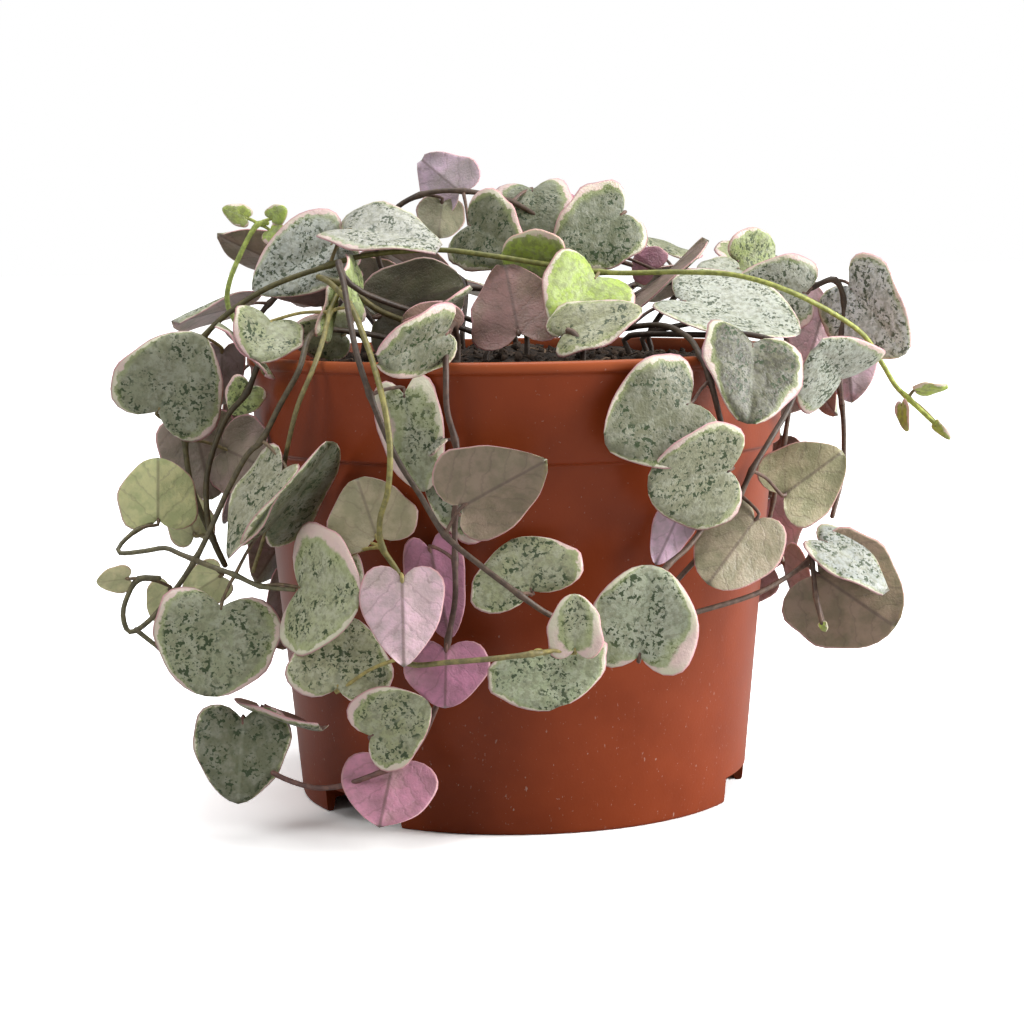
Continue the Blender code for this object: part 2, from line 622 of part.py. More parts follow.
def pot_profile():
    """The pot's section, from the boss under the floor out to the foot, up outside and down inside."""
    lip_bottom = POT_HEIGHT - LIP_HEIGHT
    return [
        (0, 0),
        (BOSS_RADIUS, 0),
        (BOSS_RADIUS + BOSS_TAPER, FLOOR_UNDERSIDE),
        (BASE_RADIUS - WALL - FOOT_TAPER, FLOOR_UNDERSIDE),
        (BASE_RADIUS - WALL, 0),
        (BASE_RADIUS - FOOT_EDGE, 0),
        (BASE_RADIUS, EDGE),
        (WALL_TOP_RADIUS, BAND_BOTTOM),
        (BAND_RADIUS, BAND_BOTTOM + EDGE),
        (LIP_RADIUS - BAND_TAPER, lip_bottom),
        (LIP_RADIUS, lip_bottom + EDGE),
        (LIP_RADIUS, POT_HEIGHT - EDGE),
        (LIP_RADIUS - EDGE, POT_HEIGHT),
        (LIP_RADIUS - WALL - LIP_INSET, POT_HEIGHT),
        (pot_inner_radius(lip_bottom), lip_bottom),
        (pot_inner_radius(BAND_BOTTOM + BAND_STEP), BAND_BOTTOM + BAND_STEP),
        (pot_inner_radius(BAND_BOTTOM - BAND_STEP), BAND_BOTTOM - BAND_STEP),
        (pot_inner_radius(FLOOR_TOP), FLOOR_TOP),
        (0, FLOOR_TOP),
    ]


def pot_object(plastic):
    """The pot: foot, tapered wall, a prouder band below the lip, and a raised floor with a round boss."""
    pot = mesh_object("pot", turned(pot_profile(), POT_SIDES), plastic)
    for index, angle in enumerate(NOTCH_ANGLES):
        cutter = notch_cutter(index, radians(angle), plastic)
        modifier = pot.modifiers.new(f"notch_{index}", "BOOLEAN")
        modifier.operation = "DIFFERENCE"
        modifier.object = cutter
    smooth_shading(pot)
    return pot


def notch_cutter(index, angle, plastic):
    """A block that opens the foot and the floor's edge at one drainage notch."""
    inner = mm(NOTCH_INNER_RADIUS)
    outer = mm(NOTCH_OUTER_RADIUS)
    bm = bmesh.new()
    bmesh.ops.create_cube(bm, size=1.0)
    size = (outer - inner, mm(NOTCH_WIDTH), mm(NOTCH_HEIGHT + NOTCH_BELOW))
    bmesh.ops.scale(bm, vec=size, verts=bm.verts)
    cutter = mesh_object(f"notch_cutter_{index}", bm, plastic)
    middle = (inner + outer) / 2
    height = mm(NOTCH_HEIGHT - NOTCH_BELOW) / 2
    cutter.location = (middle * cos(angle), middle * sin(angle), height)
    cutter.rotation_euler = (0, 0, angle)
    cutter.hide_render = True
    cutter.display_type = "WIRE"
    return cutter


def soil_object(peat, plants):
    """The soil: it fills the pot to just under the lip, with a plain hole for each stem."""
    bm = bmesh.new()
    bottom = FLOOR_TOP + CLEARANCE
    heights = (bottom, BAND_BOTTOM - BELOW_BAND, BAND_BOTTOM + ABOVE_BAND)
    walls = [(pot_inner_radius(height) - CLEARANCE, height) for height in heights]
    rings = []
    for radius, height in walls:
        rings.append([(radius * cos(a), radius * sin(a), height) for a in pot_angles()])
    top_radius = pot_inner_radius(SOIL_EDGE) - CLEARANCE
    for share in SOIL_RINGS:
        ring = []
        for angle in pot_angles():
            x = top_radius * share * cos(angle)
            y = top_radius * share * sin(angle)
            ring.append((x, y, soil_height(x, y)))
        rings.append(ring)
    made = [[bm.verts.new(mm_point(point)) for point in ring] for ring in rings]
    for lower, upper in zip(made, made[1:]):
        for a in range(POT_SIDES):
            b = (a + 1) % POT_SIDES
            bm.faces.new((lower[a], lower[b], upper[b]))
            bm.faces.new((lower[a], upper[b], upper[a]))
    bm.faces.new(made[0][::-1])
    middle = bm.verts.new(mm_point((0, 0, soil_height(0, 0))))
    for a in range(POT_SIDES):
        bm.faces.new((made[-1][a], made[-1][(a + 1) % POT_SIDES], middle))
    soil = mesh_object("soil", bm, peat)
    cut_holes(soil, plants, peat)
    return soil


def pot_angles():
    return [tau * index / POT_SIDES for index in range(POT_SIDES)]


def cut_holes(soil, plants, peat):
    holes = bpy.data.collections.new("stem_holes")
    bpy.context.scene.collection.children.link(holes)
    for index, plant in enumerate(plants.values()):
        x, y = plant.root
        top = soil_height(x, y)
        ends = [np.array((x, y, top - HOLE_DEPTH)), np.array((x, y, top + HOLE_ABOVE))]
        bm = bmesh.new()
        radius = STEM_RADIUS + 2 * CLEARANCE
        tube(bm, ends, [radius, radius], HOLE_SIDES)
        join_later(mesh_object(f"hole_{index}", bm, peat), holes)
    modifier = soil.modifiers.new("holes", "BOOLEAN")
    modifier.operation = "DIFFERENCE"
    modifier.operand_type = "COLLECTION"
    modifier.collection = holes
    apply_modifiers(soil)
    for thing in list(holes.objects):
        bpy.data.objects.remove(thing, do_unlink=True)
    bpy.data.collections.remove(holes)


def smooth_shading(thing):
    for polygon in thing.data.polygons:
        polygon.use_smooth = True


def blade_samples(blade):
    """Points spread over a blade, which other blades and stems keep clear of."""
    length = blade_frame(blade)[0]
    half = SAMPLE_HALF * length * blade.breadth
    return [blade_point(blade, side * half, share * length)
            for side in SAMPLE_SIDES for share in SAMPLE_SHARES
            if abs(side) * share < SAMPLE_CORNER]


def apart(points, taken, gap):
    """Whether every one of these points is further than gap from every taken one."""
    apart_by = np.linalg.norm(np.array(points)[:, None, :] - np.array(taken)[None, :, :], axis=2)
    return apart_by.min() > gap


def clear_of(points, taken, gap):
    """Whether every one of these points is further than gap from every taken one and from the pot."""
    points = np.array(points)
    reach = np.hypot(points[:, 0], points[:, 1])
    over_pot = points[:, 2] > POT_HEIGHT + POT_GAP
    if ((reach < LIP_RADIUS + POT_GAP) & ~over_pot).any() or points[:, 2].min() < LOWEST_LEAF:
        return False
    return apart(points, taken, gap)


def around(angle, reach, height):
    return np.array((reach * cos(angle), reach * sin(angle), height))


def grown_route(angle, rng):
    """A vine's way: up from the soil, over the rim, then down outside the pot with a slow sway."""
    drop = rng.uniform(*GROWN_DROP)
    sway = rng.uniform(-GROWN_SWAY, GROWN_SWAY)
    crest = rng.uniform(*GROWN_CREST)
    shoulder = crest - SHOULDER_DROP
    inside, over_rim, outside = GROWN_REACHES
    route = [
        around(angle - sway, inside, crest - BEFORE_CREST),
        around(angle, over_rim, crest),
        around(angle, outside, shoulder),
    ]
    count = max(2, round(drop / ROUTE_STEP))
    for index in range(1, count + 1):
        share = index / count
        reach = HANGING_REACH + HANGING_SWING * sin(3 * share + angle)
        route.append(around(angle + sway * share * 2, reach, shoulder - drop * share))
    return route


def grown_blade(point, outward, aside, rng, crown):
    """A leaf beside a point of a stem: level over the crown, hanging and facing out lower down."""
    size = rng.uniform(*GROWN_LEAF)
    up = np.array((0, 0, 1.0))
    base = point + aside * rng.uniform(*OFF_ASIDE) + outward * rng.uniform(*OFF_OUTWARD)
    if crown:
        base = base + up * rng.uniform(*OFF_UP)
        way = outward * rng.uniform(*CROWN_OUTWARD) + aside * rng.uniform(*CROWN_ASIDE)
        way = unit(way + up * rng.uniform(*CROWN_UP))
        upper = up + outward * FACING_SHARE
    else:
        way = unit(-up + aside * rng.uniform(*HANGING_ASIDE) + outward * rng.uniform(*HANGING_OUTWARD))
        upper = outward + up * FACING_SHARE + aside * rng.uniform(*HANGING_TWIST)
    return Blade(base, base + way * size, upper, rng.uniform(*GROWN_BREADTH), rng.uniform(*GROWN_FOLD))


def grown_plants(plants):
    """Vines for the sides and back, which the photograph hides, kept clear of the ones in the table."""
    rng = np.random.default_rng(SEED)
    taken = []
    for plant in plants.values():
        taken += smooth(stem_points(plant), SAMPLE_STEP)
        for blade in plant.blades:
            taken += blade_samples(blade)
    grown = {}
    for number, degrees in enumerate(GROWN_ANGLES, 1):
        angle = radians(degrees)
        root = around(angle, ROOT_REACHES[number % 2], 0)[:2]
        for _ in range(GROWN_TRIES):
            plant = Plant(tuple(root), grown_route(angle, rng), [], [])
            if apart(smooth(stem_points(plant), SAMPLE_STEP), taken, LEAF_GAP):
                break
        taken += smooth(stem_points(plant), SAMPLE_STEP)
        grown[f"vine_back_{number}"] = plant
    for plant in grown.values():
        stem = smooth(stem_points(plant)[RISEN_POINTS:], SAMPLE_STEP)
        for share in GROWN_NODES:
            point = stem[int(share * (len(stem) - 1))]
            outward = unit(np.array((point[0], point[1], 0)))
            sideways = np.array((-outward[1], outward[0], 0))
            for side in (1, -1):
                add_grown_blade(plant, point, outward, sideways * side, rng, taken)
    return grown


def add_grown_blade(plant, point, outward, aside, rng, taken):
    """Puts a leaf here where one fits clear of the rest, in a few tries."""
    crown = point[2] > POT_HEIGHT + CROWN_ABOVE
    for _ in range(GROWN_TRIES):
        blade = grown_blade(point, outward, aside, rng, crown)
        if clear_of(blade_samples(blade), taken, LEAF_GAP):
            plant.blades.append(blade)
            taken += blade_samples(blade)
            return


def clear_scene():
    for thing in list(bpy.data.objects):
        bpy.data.objects.remove(thing, do_unlink=True)


def main():
    clear_scene()
    plastic = material("pot_plastic", (0.36, 0.10, 0.05), 0.42)
    peat = material("soil", (0.025, 0.016, 0.012), 0.95)
    foliage = material("leaf", (0.22, 0.27, 0.18), 0.5)
    young = material("young_stem", (0.42, 0.52, 0.10), 0.45)
    pot_object(plastic)
    plants = {name: laid_out(vine) for name, vine in VINES.items()}
    plants.update(grown_plants(plants))
    soil_object(peat, plants)
    for name, plant in plants.items():
        vine_object(name, plant, young if name == "vine_young" else foliage)


main()
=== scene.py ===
from collections import namedtuple
from math import cos, radians, sin, sqrt, tau

import bpy
import numpy as np
from mathutils import Matrix, Vector


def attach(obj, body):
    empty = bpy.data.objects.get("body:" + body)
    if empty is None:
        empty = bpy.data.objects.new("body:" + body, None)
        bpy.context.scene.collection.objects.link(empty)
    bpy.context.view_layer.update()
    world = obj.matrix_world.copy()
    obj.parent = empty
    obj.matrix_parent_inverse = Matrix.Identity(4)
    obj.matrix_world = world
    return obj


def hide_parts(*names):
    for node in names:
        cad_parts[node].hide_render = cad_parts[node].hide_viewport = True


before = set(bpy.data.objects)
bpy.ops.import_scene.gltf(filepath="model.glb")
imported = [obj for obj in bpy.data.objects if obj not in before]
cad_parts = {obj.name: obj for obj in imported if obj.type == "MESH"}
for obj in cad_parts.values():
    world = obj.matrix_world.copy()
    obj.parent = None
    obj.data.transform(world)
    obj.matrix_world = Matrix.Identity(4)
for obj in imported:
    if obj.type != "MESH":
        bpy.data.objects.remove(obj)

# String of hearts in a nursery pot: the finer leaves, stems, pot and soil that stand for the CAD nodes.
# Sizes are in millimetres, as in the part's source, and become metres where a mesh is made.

MILLIMETRE = 0.001

# Pot: outer radii and heights, then the wall and the floor
POT_HEIGHT = 87.6
BASE_RADIUS = 44.3
WALL_TOP_RADIUS = 50.6
BAND_BOTTOM = 68.9
BAND_RADIUS = 51.9
LIP_RADIUS = 53.3
LIP_HEIGHT = 2.4
WALL = 1.5
FLOOR_UNDERSIDE = 2.5
FLOOR_TOP = 4.5
BOSS_RADIUS = 12.0
BOSS_TAPER = 0.8
FOOT_TAPER = 0.6
FOOT_EDGE = 0.3
EDGE = 0.5
BAND_TAPER = 0.7
LIP_INSET = 0.4
BAND_STEP = 1.0

# Drainage notches through the foot and the floor's edge
NOTCH_ANGLES = (-15, 105, 225)
NOTCH_WIDTH = 21.0
NOTCH_HEIGHT = 5.0
NOTCH_INNER_RADIUS = 34.0
NOTCH_OUTER_RADIUS = 48.3
NOTCH_BELOW = 2.0

# Soil: it stays this far from the pot and the stems
CLEARANCE = 0.3
SOIL_EDGE = 84.0
SOIL_DOME = 2.6
SOIL_LUMP = 0.7
SOIL_REACH = 50.0
LUMP_WAVES = ((0.31, 0.27), (0.71, 0.53))
LUMP_SHIFT = 1.3
LUMP_SHARE = 0.6
BELOW_BAND = 1.4
ABOVE_BAND = 1.6

# Stems and leaves
STEM_RADIUS = 0.95
STEM_TIP_RADIUS = 0.8
SHOOT_RADIUS = 0.66
PETIOLE_RADIUS = 0.52
STEM_STEP = 6.5
STEM_TAPER = 1.5
STEM_RISES = (1.0, 4.5)
RISEN_POINTS = 3
STALK_BACK = 0.4
STALK_UNDER = 2.1
ROOT_DEPTH = 8.0

# Vines grown by rule round the sides and back: their angles, and shares of the stem that have leaves
SEED = 1752
GROWN_ANGLES = (24, 46, 68, 90, 112, 134, 156)
GROWN_NODES = (0.08, 0.3, 0.5, 0.7, 0.88, 1.0)
GROWN_DROP = (28, 62)
GROWN_SWAY = 0.16
GROWN_CREST = (96, 104)
GROWN_REACHES = (37, 50, 60)
BEFORE_CREST = 2
SHOULDER_DROP = 9
ROUTE_STEP = 14
HANGING_REACH = 62
HANGING_SWING = 2.5
ROOT_REACHES = (24, 30)
GROWN_TRIES = 14

# Grown leaves: sizes, how far they stand off the stem, and the ways they point
GROWN_LEAF = (13.0, 19.0)
GROWN_BREADTH = (0.95, 1.15)
GROWN_FOLD = (4, 14)
OFF_ASIDE = (3.5, 5.5)
OFF_OUTWARD = (1.0, 3.5)
OFF_UP = (2.0, 6.0)
CROWN_OUTWARD = (0.2, 0.9)
CROWN_ASIDE = (0.5, 1.0)
CROWN_UP = (-0.2, 0.6)
HANGING_ASIDE = (0.1, 0.9)
HANGING_OUTWARD = (-0.05, 0.35)
HANGING_TWIST = (-0.4, 0.4)
FACING_SHARE = 0.5

# Room that grown leaves and stems keep, and where a leaf is sampled for it
LEAF_GAP = 2.6
POT_GAP = 2.0
LOWEST_LEAF = 3.0
CROWN_ABOVE = 1.0
SAMPLE_STEP = 3
SAMPLE_HALF = 0.45
SAMPLE_SIDES = (-1, -0.5, 0, 0.5, 1)
SAMPLE_SHARES = (-0.1, 0.2, 0.5, 0.8, 1)
SAMPLE_CORNER = 0.7

# The picture plane goes through AIM, square to the viewer's line of sight
EYE_DISTANCE = 480.0
LOOK_DOWN = radians(6.5)
PICTURE_ROLL = radians(-0.89)
AIM = np.array((-1.4, 0.0, 55.0))
AHEAD = np.array((0.0, cos(LOOK_DOWN), -sin(LOOK_DOWN)))
LEVEL_UP = np.array((0.0, sin(LOOK_DOWN), cos(LOOK_DOWN)))
LEVEL_RIGHT = np.array((1.0, 0.0, 0.0))
RIGHT = LEVEL_RIGHT * cos(PICTURE_ROLL) + LEVEL_UP * sin(PICTURE_ROLL)
UP = LEVEL_UP * cos(PICTURE_ROLL) - LEVEL_RIGHT * sin(PICTURE_ROLL)
EYE = AIM - AHEAD * EYE_DISTANCE

# The camera's picture: 36 mm of sensor for this many pixels, and its focal length in pixels
SENSOR_WIDTH = 36.0
PICTURE_PIXELS = 1024
FOCAL_PIXELS = 2400

# The share of a leaf's length that its stalk is taken to run in under the blade
STALK_INTO = 0.3

# A leaf's base and tip are points as seen() takes them. turn rolls it about its midrib: at 0 its
# upper side faces the viewer, at 180 its underside. breadth multiplies the width of its
# outline, and fold is how far each half tips up, in degrees.
Leaf = namedtuple("Leaf", "base tip turn breadth fold")
# A vine's root is where it stands in the soil. Its route and its shoots are points for seen().
Vine = namedtuple("Vine", "root route shoots leaves")
# The same in the pot's own millimetres, which the grown vines have from the start
Blade = namedtuple("Blade", "base tip upper breadth fold")
Plant = namedtuple("Plant", "root route shoots blades")

VINES = {
    "vine_arch": Vine(
        (-30, -8),
        [(-36, 36.5, 14), (-44, 36.5, 24), (-49.5, 32, 31), (-53, 24, 31), (-57.4, 18.4, 30),
         (-60.8, 8.4, 30), (-61, 0, 30), (-59.8, -5.6, 29), (-57.4, -10.6, 27), (-60, -5, 24),
         (-62.4, 0.4, 23), (-64.4, 6.4, 22), (-65.4, 14.4, 21), (-65, 24, 20), (-61.8, 34.8, 22),
         (-50.4, 44, 24), (-36.4, 49.4, 24), (-27.4, 51.6, 24), (-14.4, 52.4, 24), (-2.4, 51, 24),
         (17.6, 48, 25), (33.6, 48, 27), (45.6, 47.2, 27), (57.6, 43.2, 24), (69.2, 36.4, 16),
         (73.6, 30.4, 10), (76.6, 25.4, 9), (79.2, 22.8, 9), (86.4, 16, 9)],
        [],
        [Leaf((-71, 19.8, 26), (-62.2, 35.6, 30), 0, 1.15, 8),
         Leaf((-58, 32.4, 15), (-58, 21.4, 13), 180, 0.8, 10),
         Leaf((-33.4, 56.6, 20), (-14, 53.8, 28), -60, 0.85, 20),
         Leaf((-35, 54, 18), (-52.2, 44.4, 19), 25, 0.85, 18),
         Leaf((17, 47.4, 27), (9.6, 35.6, 35), 0, 1.05, 16),
         Leaf((9.6, 50, 22), (-2.6, 50.6, 18), -30, 1.05, 10),
         Leaf((-49.4, 28.6, 37), (-58.6, 38.2, 34), 82, 0.7, 10),
         Leaf((-52.4, 25.2, 27), (-56, 19.4, 28), 0, 1.1, 5),
         Leaf((-63.4, 17.4, 15), (-60, 2.2, 17), 180, 1.0, 8),
         Leaf((-57, 12.4, 18), (-48.4, 8.4, 27), 180, 1.1, 8),
         Leaf((-63.4, -4.6, 19), (-67.4, 5.8, 18), 180, 0.8, 8),
         Leaf((-33.4, 35.4, 20), (-44.6, 35, 24), -30, 1.0, 6),
         Leaf((78, 21.6, 9), (78.8, 16, 10), 50, 0.7, 10),
         Leaf((81.2, 24.2, 10), (87.4, 24.8, 12), 60, 0.7, 10),
         Leaf((84.6, 17.4, 9), (87.6, 14.4, 10), 40, 0.6, 5)],
    ),
    "vine_hook": Vine(
        (-24, -14),
        [(-36, 36.5, 26), (-40.4, 35.2, 36), (-42.6, 28.4, 43), (-46.4, 21.4, 43), (-50, 14.4, 42),
         (-53, 11.4, 41), (-56.8, 4.4, 40), (-60.4, -3.6, 39), (-63.4, -9.6, 38), (-67.4, -15.6, 37),
         (-72.4, -21.6, 36), (-76.4, -24, 36), (-77.8, -20.6, 36), (-76.8, -16.6, 35),
         (-74.6, -13.4, 35), (-70.4, -13.2, 35)],
        [[(-63.4, -9.6, 38), (-66.4, -8.4, 37), (-69.4, -7.2, 36), (-73.4, -7.8, 35),
          (-78.4, -8.2, 34), (-78.2, -6.4, 32.5), (-75, -3.6, 30), (-72, -2.4, 28.6)],
         [(-63.4, -9.6, 38), (-60.4, -10.8, 41), (-55.4, -12.6, 43), (-50.4, -14.8, 45),
          (-43.4, -15.6, 46.5)],
         [(-75.4, -23.4, 36), (-71.6, -26.4, 36), (-69.4, -28.4, 36)]],
        [Leaf((-49.6, -4.4, 44), (-35.2, 14.2, 50), 66, 0.85, 12),
         Leaf((-45.8, 8.4, 47), (-58, -9, 46), 62, 0.85, 12),
         Leaf((-70.8, -2, 28), (-70.8, 11.2, 30), 180, 1.1, 8),
         Leaf((-76.8, -13.2, 35), (-83.2, -14, 35), 165, 0.85, 8),
         Leaf((-58, -12.6, 30), (-65.4, -17.2, 28), 180, 0.9, 8),
         Leaf((-68.4, -15.2, 29), (-71.4, -22, 28), 180, 1.0, 8),
         Leaf((-58, -18.2, 43), (-61.2, -37.2, 46), 0, 1.2, 8),
         Leaf((-43, -15, 47), (-31, -17.2, 60), 0, 1.25, 10)],
    ),
    "vine_yellow": Vine(
        (-12, -20),
        [(-26, 40, 28), (-33, 45, 30), (-38.8, 47, 31), (-36.4, 45.8, 34), (-32.4, 41.4, 41),
         (-29.6, 35, 49), (-27.4, 28.4, 55), (-25.4, 20.4, 60), (-24.4, 12.4, 60.5),
         (-24.8, 4.4, 60), (-26.4, -1.6, 57), (-26, -7, 55), (-22.6, -13, 54), (-22.4, -22, 55),
         (-21.8, -29, 56), (-19.4, -30.6, 58), (-12, -30, 63), (-4.4, -29.4, 65.5), (4, -28.4, 65),
         (9, -27.6, 62)],
        [[(-34, 45.4, 30), (-36.4, 40, 35), (-37.8, 34.4, 41), (-39.8, 28.6, 45),
          (-42.8, 21.4, 46.5), (-44.6, 14.4, 45), (-45.8, 8.4, 40), (-47, 3, 35), (-48.6, -2, 34),
          (-50.2, -7, 35), (-51.8, -12, 37)]],
        [Leaf((-27, -5.2, 51), (-31, 6.6, 48.5), 180, 1.35, 8),
         Leaf((-33.4, -9.6, 50), (-31, -17.6, 51), 0, 0.7, 8),
         Leaf((-32.4, -7.2, 46), (-38.4, -7.6, 44), -40, 0.8, 5),
         Leaf((-22, -13.4, 59.5), (-21.6, -31.2, 65), 180, 0.9, 10),
         Leaf((-35, -35.6, 52), (-32.4, -20.6, 50), 0, 1.3, 6),
         Leaf((12.6, -28, 62.5), (12.6, -16.2, 64.5), 0, 0.85, 8),
         Leaf((6.2, -28, 57.5), (9.6, -39, 63), 0, 1.8, 8),
         Leaf((-32.4, 41.4, 33), (-31, 51.8, 25), 60, 0.7, 14),
         Leaf((-37.4, 35.8, 33), (-35, 45.4, 31), 60, 0.65, 14),
         Leaf((-48, 38.4, 34), (-51.2, 30.8, 42), 0, 1.15, 14)],
    ),
    "vine_swag": Vine(
        (-6, -16),
        [(-30, 44, 36), (-34.6, 50, 38), (-33.6, 45.6, 44), (-32.6, 39.4, 50), (-31, 31.4, 55),
         (-28.4, 23.4, 56.5), (-25.4, 15.8, 56), (-22.4, 9.6, 56), (-18.4, 3.4, 57),
         (-13.4, -4.6, 59.5), (-6.4, -10.6, 60), (1.6, -16.6, 60), (7.6, -20.6, 58),
         (13, -22.4, 55.5), (20, -23, 52.5), (28, -22.4, 50), (37, -20, 47), (49.6, -16, 42),
         (58.6, -10.4, 36.5), (61.4, -7.4, 34.5)],
        [[(60, -9, 36), (60.8, -17, 38), (62, -22.4, 38.5)]],
        [Leaf((-21.8, 24.4, 54), (-17.6, 3.6, 53), 14, 0.6, 8),
         Leaf((-9.8, 1.4, 60.5), (7, 11.2, 64), 200, 1.1, 22),
         Leaf((4, -16, 55.5), (-0.2, -5.2, 52.5), 0, 1.85, 8),
         Leaf((62, -5.6, 35), (76, -15.2, 38), -55, 0.85, 10),
         Leaf((60.6, -12, 33), (77, -23.2, 34), 180, 1.15, 12),
         Leaf((62, -22.2, 38.4), (62.8, -24, 38.4), 30, 1.0, 0)],
    ),
    "vine_pink": Vine(
        (-11, -30),
        [(-11.6, 37.4, 39), (-12.4, 36.6, 46), (-13.2, 33, 54.5), (-13.2, 27, 58.5), (-13, 20.4, 58),
         (-11.4, 14.4, 56), (-10.6, 8, 55.5), (-11.4, -0.6, 53.6), (-11.4, -9.6, 53.8),
         (-11.4, -17.6, 54), (-12.8, -25.6, 53.6), (-13.8, -33, 52.5), (-15.4, -39.6, 50),
         (-20.4, -48.6, 49), (-30.4, -53.6, 48), (-38.4, -55.2, 44), (-45.8, -53.2, 40),
         (-50.4, -50, 37), (-52.4, -46, 35.4)],
        [],
        [Leaf((-14, 14.6, 56), (-17, 11.4, 57), 60, 0.7, 5),
         Leaf((-16.4, -7.2, 50), (-12.4, -25.6, 49.6), 180, 0.6, 5),
         Leaf((-13.2, -27.4, 53.5), (-13.4, -39.4, 56), 180, 1.35, 8),
         Leaf((-28.4, -45, 53), (-17, -38, 57), 0, 1.1, 6),
         Leaf((-24, -51, 45), (-26.6, -63.4, 52), 180, 1.3, 8),
         Leaf((-53.8, -41.2, 39), (-54.8, -58.6, 41), 0, 1.05, 6),
         Leaf((-50, -39.6, 32), (-38, -44.6, 43), 95, 0.85, 6),
         Leaf((-11.4, 36, 31), (-22.4, 38.4, 32), 180, 0.9, 8),
         Leaf((-20, 38, 38), (-7.4, 44.4, 38), 84, 0.7, 6),
         Leaf((-12.4, 36, 58), (-26.8, 29.6, 66), -40, 0.8, 10),
         Leaf((-5.4, -1.2, 51), (-17.4, 6.8, 50.4), 0, 0.85, 5)],
    ),
    "vine_right_inner": Vine(
        (12, -18),
        [(28, 37.4, 32), (34.6, 35.4, 39), (37.6, 31.4, 46.5), (39.6, 26.4, 48), (41.2, 20.4, 46.5),
         (42.4, 14.4, 44), (42, 6.4, 43), (39.6, -0.6, 45), (35.6, -6.6, 48), (31.2, -10.6, 50.5),
         (27.6, -15, 52.5)],
        [],
        [Leaf((48, 34, 43), (47.6, 18, 51), -28, 1.15, 8),
         Leaf((36, 22, 51), (18.8, 13.8, 58), 0, 1.05, 8),
         Leaf((44.2, 8.4, 49), (27, 5, 55), -28, 1.1, 8),
         Leaf((33.6, 0, 45), (28.6, -10.8, 46.5), 180, 0.65, 8),
         Leaf((25.4, -29.6, 56), (28, -10.2, 56), 0, 1.05, 12),
         Leaf((33, 42.4, 18), (58.2, 35.8, 24), -62, 0.95, 12)],
    ),
    "vine_right_outer": Vine(
        (22, -10),
        [(40, 35.4, 28), (48, 35.4, 32), (54.4, 33, 33), (57, 27.4, 34), (55.6, 21.4, 35),
         (51.6, 14.4, 39), (48, 8.4, 41), (45.6, 3.4, 41), (41.6, -3.4, 42), (37.6, -8.6, 43.5),
         (33.6, -13, 46), (30.6, -16.6, 48)],
        [],
        [Leaf((49, -1, 42), (38.6, -15.2, 48), 180, 0.85, 10),
         Leaf((54.2, 3.4, 32), (66, 12, 29), 180, 1.05, 12)],
    ),
    "vine_right_node": Vine(
        (26, 2),
        [(40, 38.6, 6), (50, 41, 3), (60, 45, 3), (64.6, 46.4, 4), (66.4, 42, 3), (66, 36, 3),
         (64.6, 29.4, 3), (66, 21.4, 4), (66.4, 14, 5), (66, 7, 6), (64, -1, 8)],
        [],
        [Leaf((59, 43.8, 6), (45, 45.4, 9), 0, 0.95, 10),
         Leaf((67.2, 45.4, 3), (78.6, 31.4, 10), 25, 0.95, 12),
         Leaf((63, 42.4, -2), (58.6, 28, 0), 180, 0.85, 8),
         Leaf((67, 34.8, -2), (68, 21.6, 0), 180, 0.85, 8),
         Leaf((66, 26.4, 20), (61.6, 32.4, 34), 0, 1.15, 14)],
    ),
    "vine_crown": Vine(
        (-6, 14),
        [(-22, 44, -8), (-27, 52, -4), (-24.4, 59.4, 1), (-18.4, 63.4, 3), (-9.8, 64.2, 3),
         (0, 62, 0), (8, 57, -2), (16, 52, -4), (24, 49.4, -5)],
        [],
        [Leaf((-10.4, 64, 1), (-18, 70.4, -4), 180, 1.05, 12),
         Leaf((-14, 62, 1), (-14.8, 54.2, 5), 180, 1.0, 14),
         Leaf((-8.8, 57.6, 7), (1.4, 51.8, 17), 0, 1.0, 8),
         Leaf((4, 64.8, -4), (5.2, 52.6, 3), 0, 1.0, 8),
         Leaf((10.8, 62.4, -4), (14.6, 61.2, -7), 120, 1.0, 8),
         Leaf((22.6, 60, 0), (8.8, 51.4, 5), 0, 0.9, 8),
         Leaf((28.6, 48.4, -4), (24.8, 51.8, -7), 180, 1.3, 8)],
    ),
    "vine_crown_right": Vine(
        (14, 12),
        [(20, 41, -6), (28, 44.6, -2), (35, 47, 1), (42, 48.6, 2)],
        [],
        [Leaf((24, 41.6, 0), (40.2, 53.6, 0), 100, 0.7, 8),
         Leaf((45.6, 48.6, 5), (37, 48.2, 9), 55, 0.9, 8),
         Leaf((44.6, 50, 0), (53, 53.4, -4), 20, 1.05, 10)],
    ),
    "vine_centre": Vine(
        (2, -8),
        [(2, 38, 16), (0, 42, 14), (-6, 44.6, 12), (-14, 44, 10), (-22, 41, 9)],
        [],
        [Leaf((-27, 38.8, 12), (-9.2, 45.4, 19), 160, 0.95, 14),
         Leaf((1.4, 35.4, 30), (-1.4, 49.6, 23), 180, 1.05, 14)],
    ),
    "vine_front": Vine(
        (12, -37),
        [(12, 36, 39), (11, 36.4, 39)],
        [],
        [Leaf((10, 35.4, 38), (26, 41.6, 38), -45, 0.8, 10)],
    ),
    "vine_young": Vine(
        (-38, 2),
        [(-46, 36, 6), (-53.4, 36.4, 9), (-56, 39.4, 10), (-57, 42.4, 10.5), (-56.4, 46.4, 11),
         (-54.4, 51.4, 11), (-52.4, 55.4, 11), (-50.8, 57.6, 11), (-48.8, 57.8, 11)],
        [],
        [Leaf((-53, 58.8, 12), (-58, 60.8, 13), 0, 0.8, 8),
         Leaf((-48.2, 58.6, 12), (-45.2, 61, 13), 10, 1.0, 8),
         Leaf((-48.4, 56.4, 11), (-45.4, 53.6, 13), 0, 1.0, 8)],
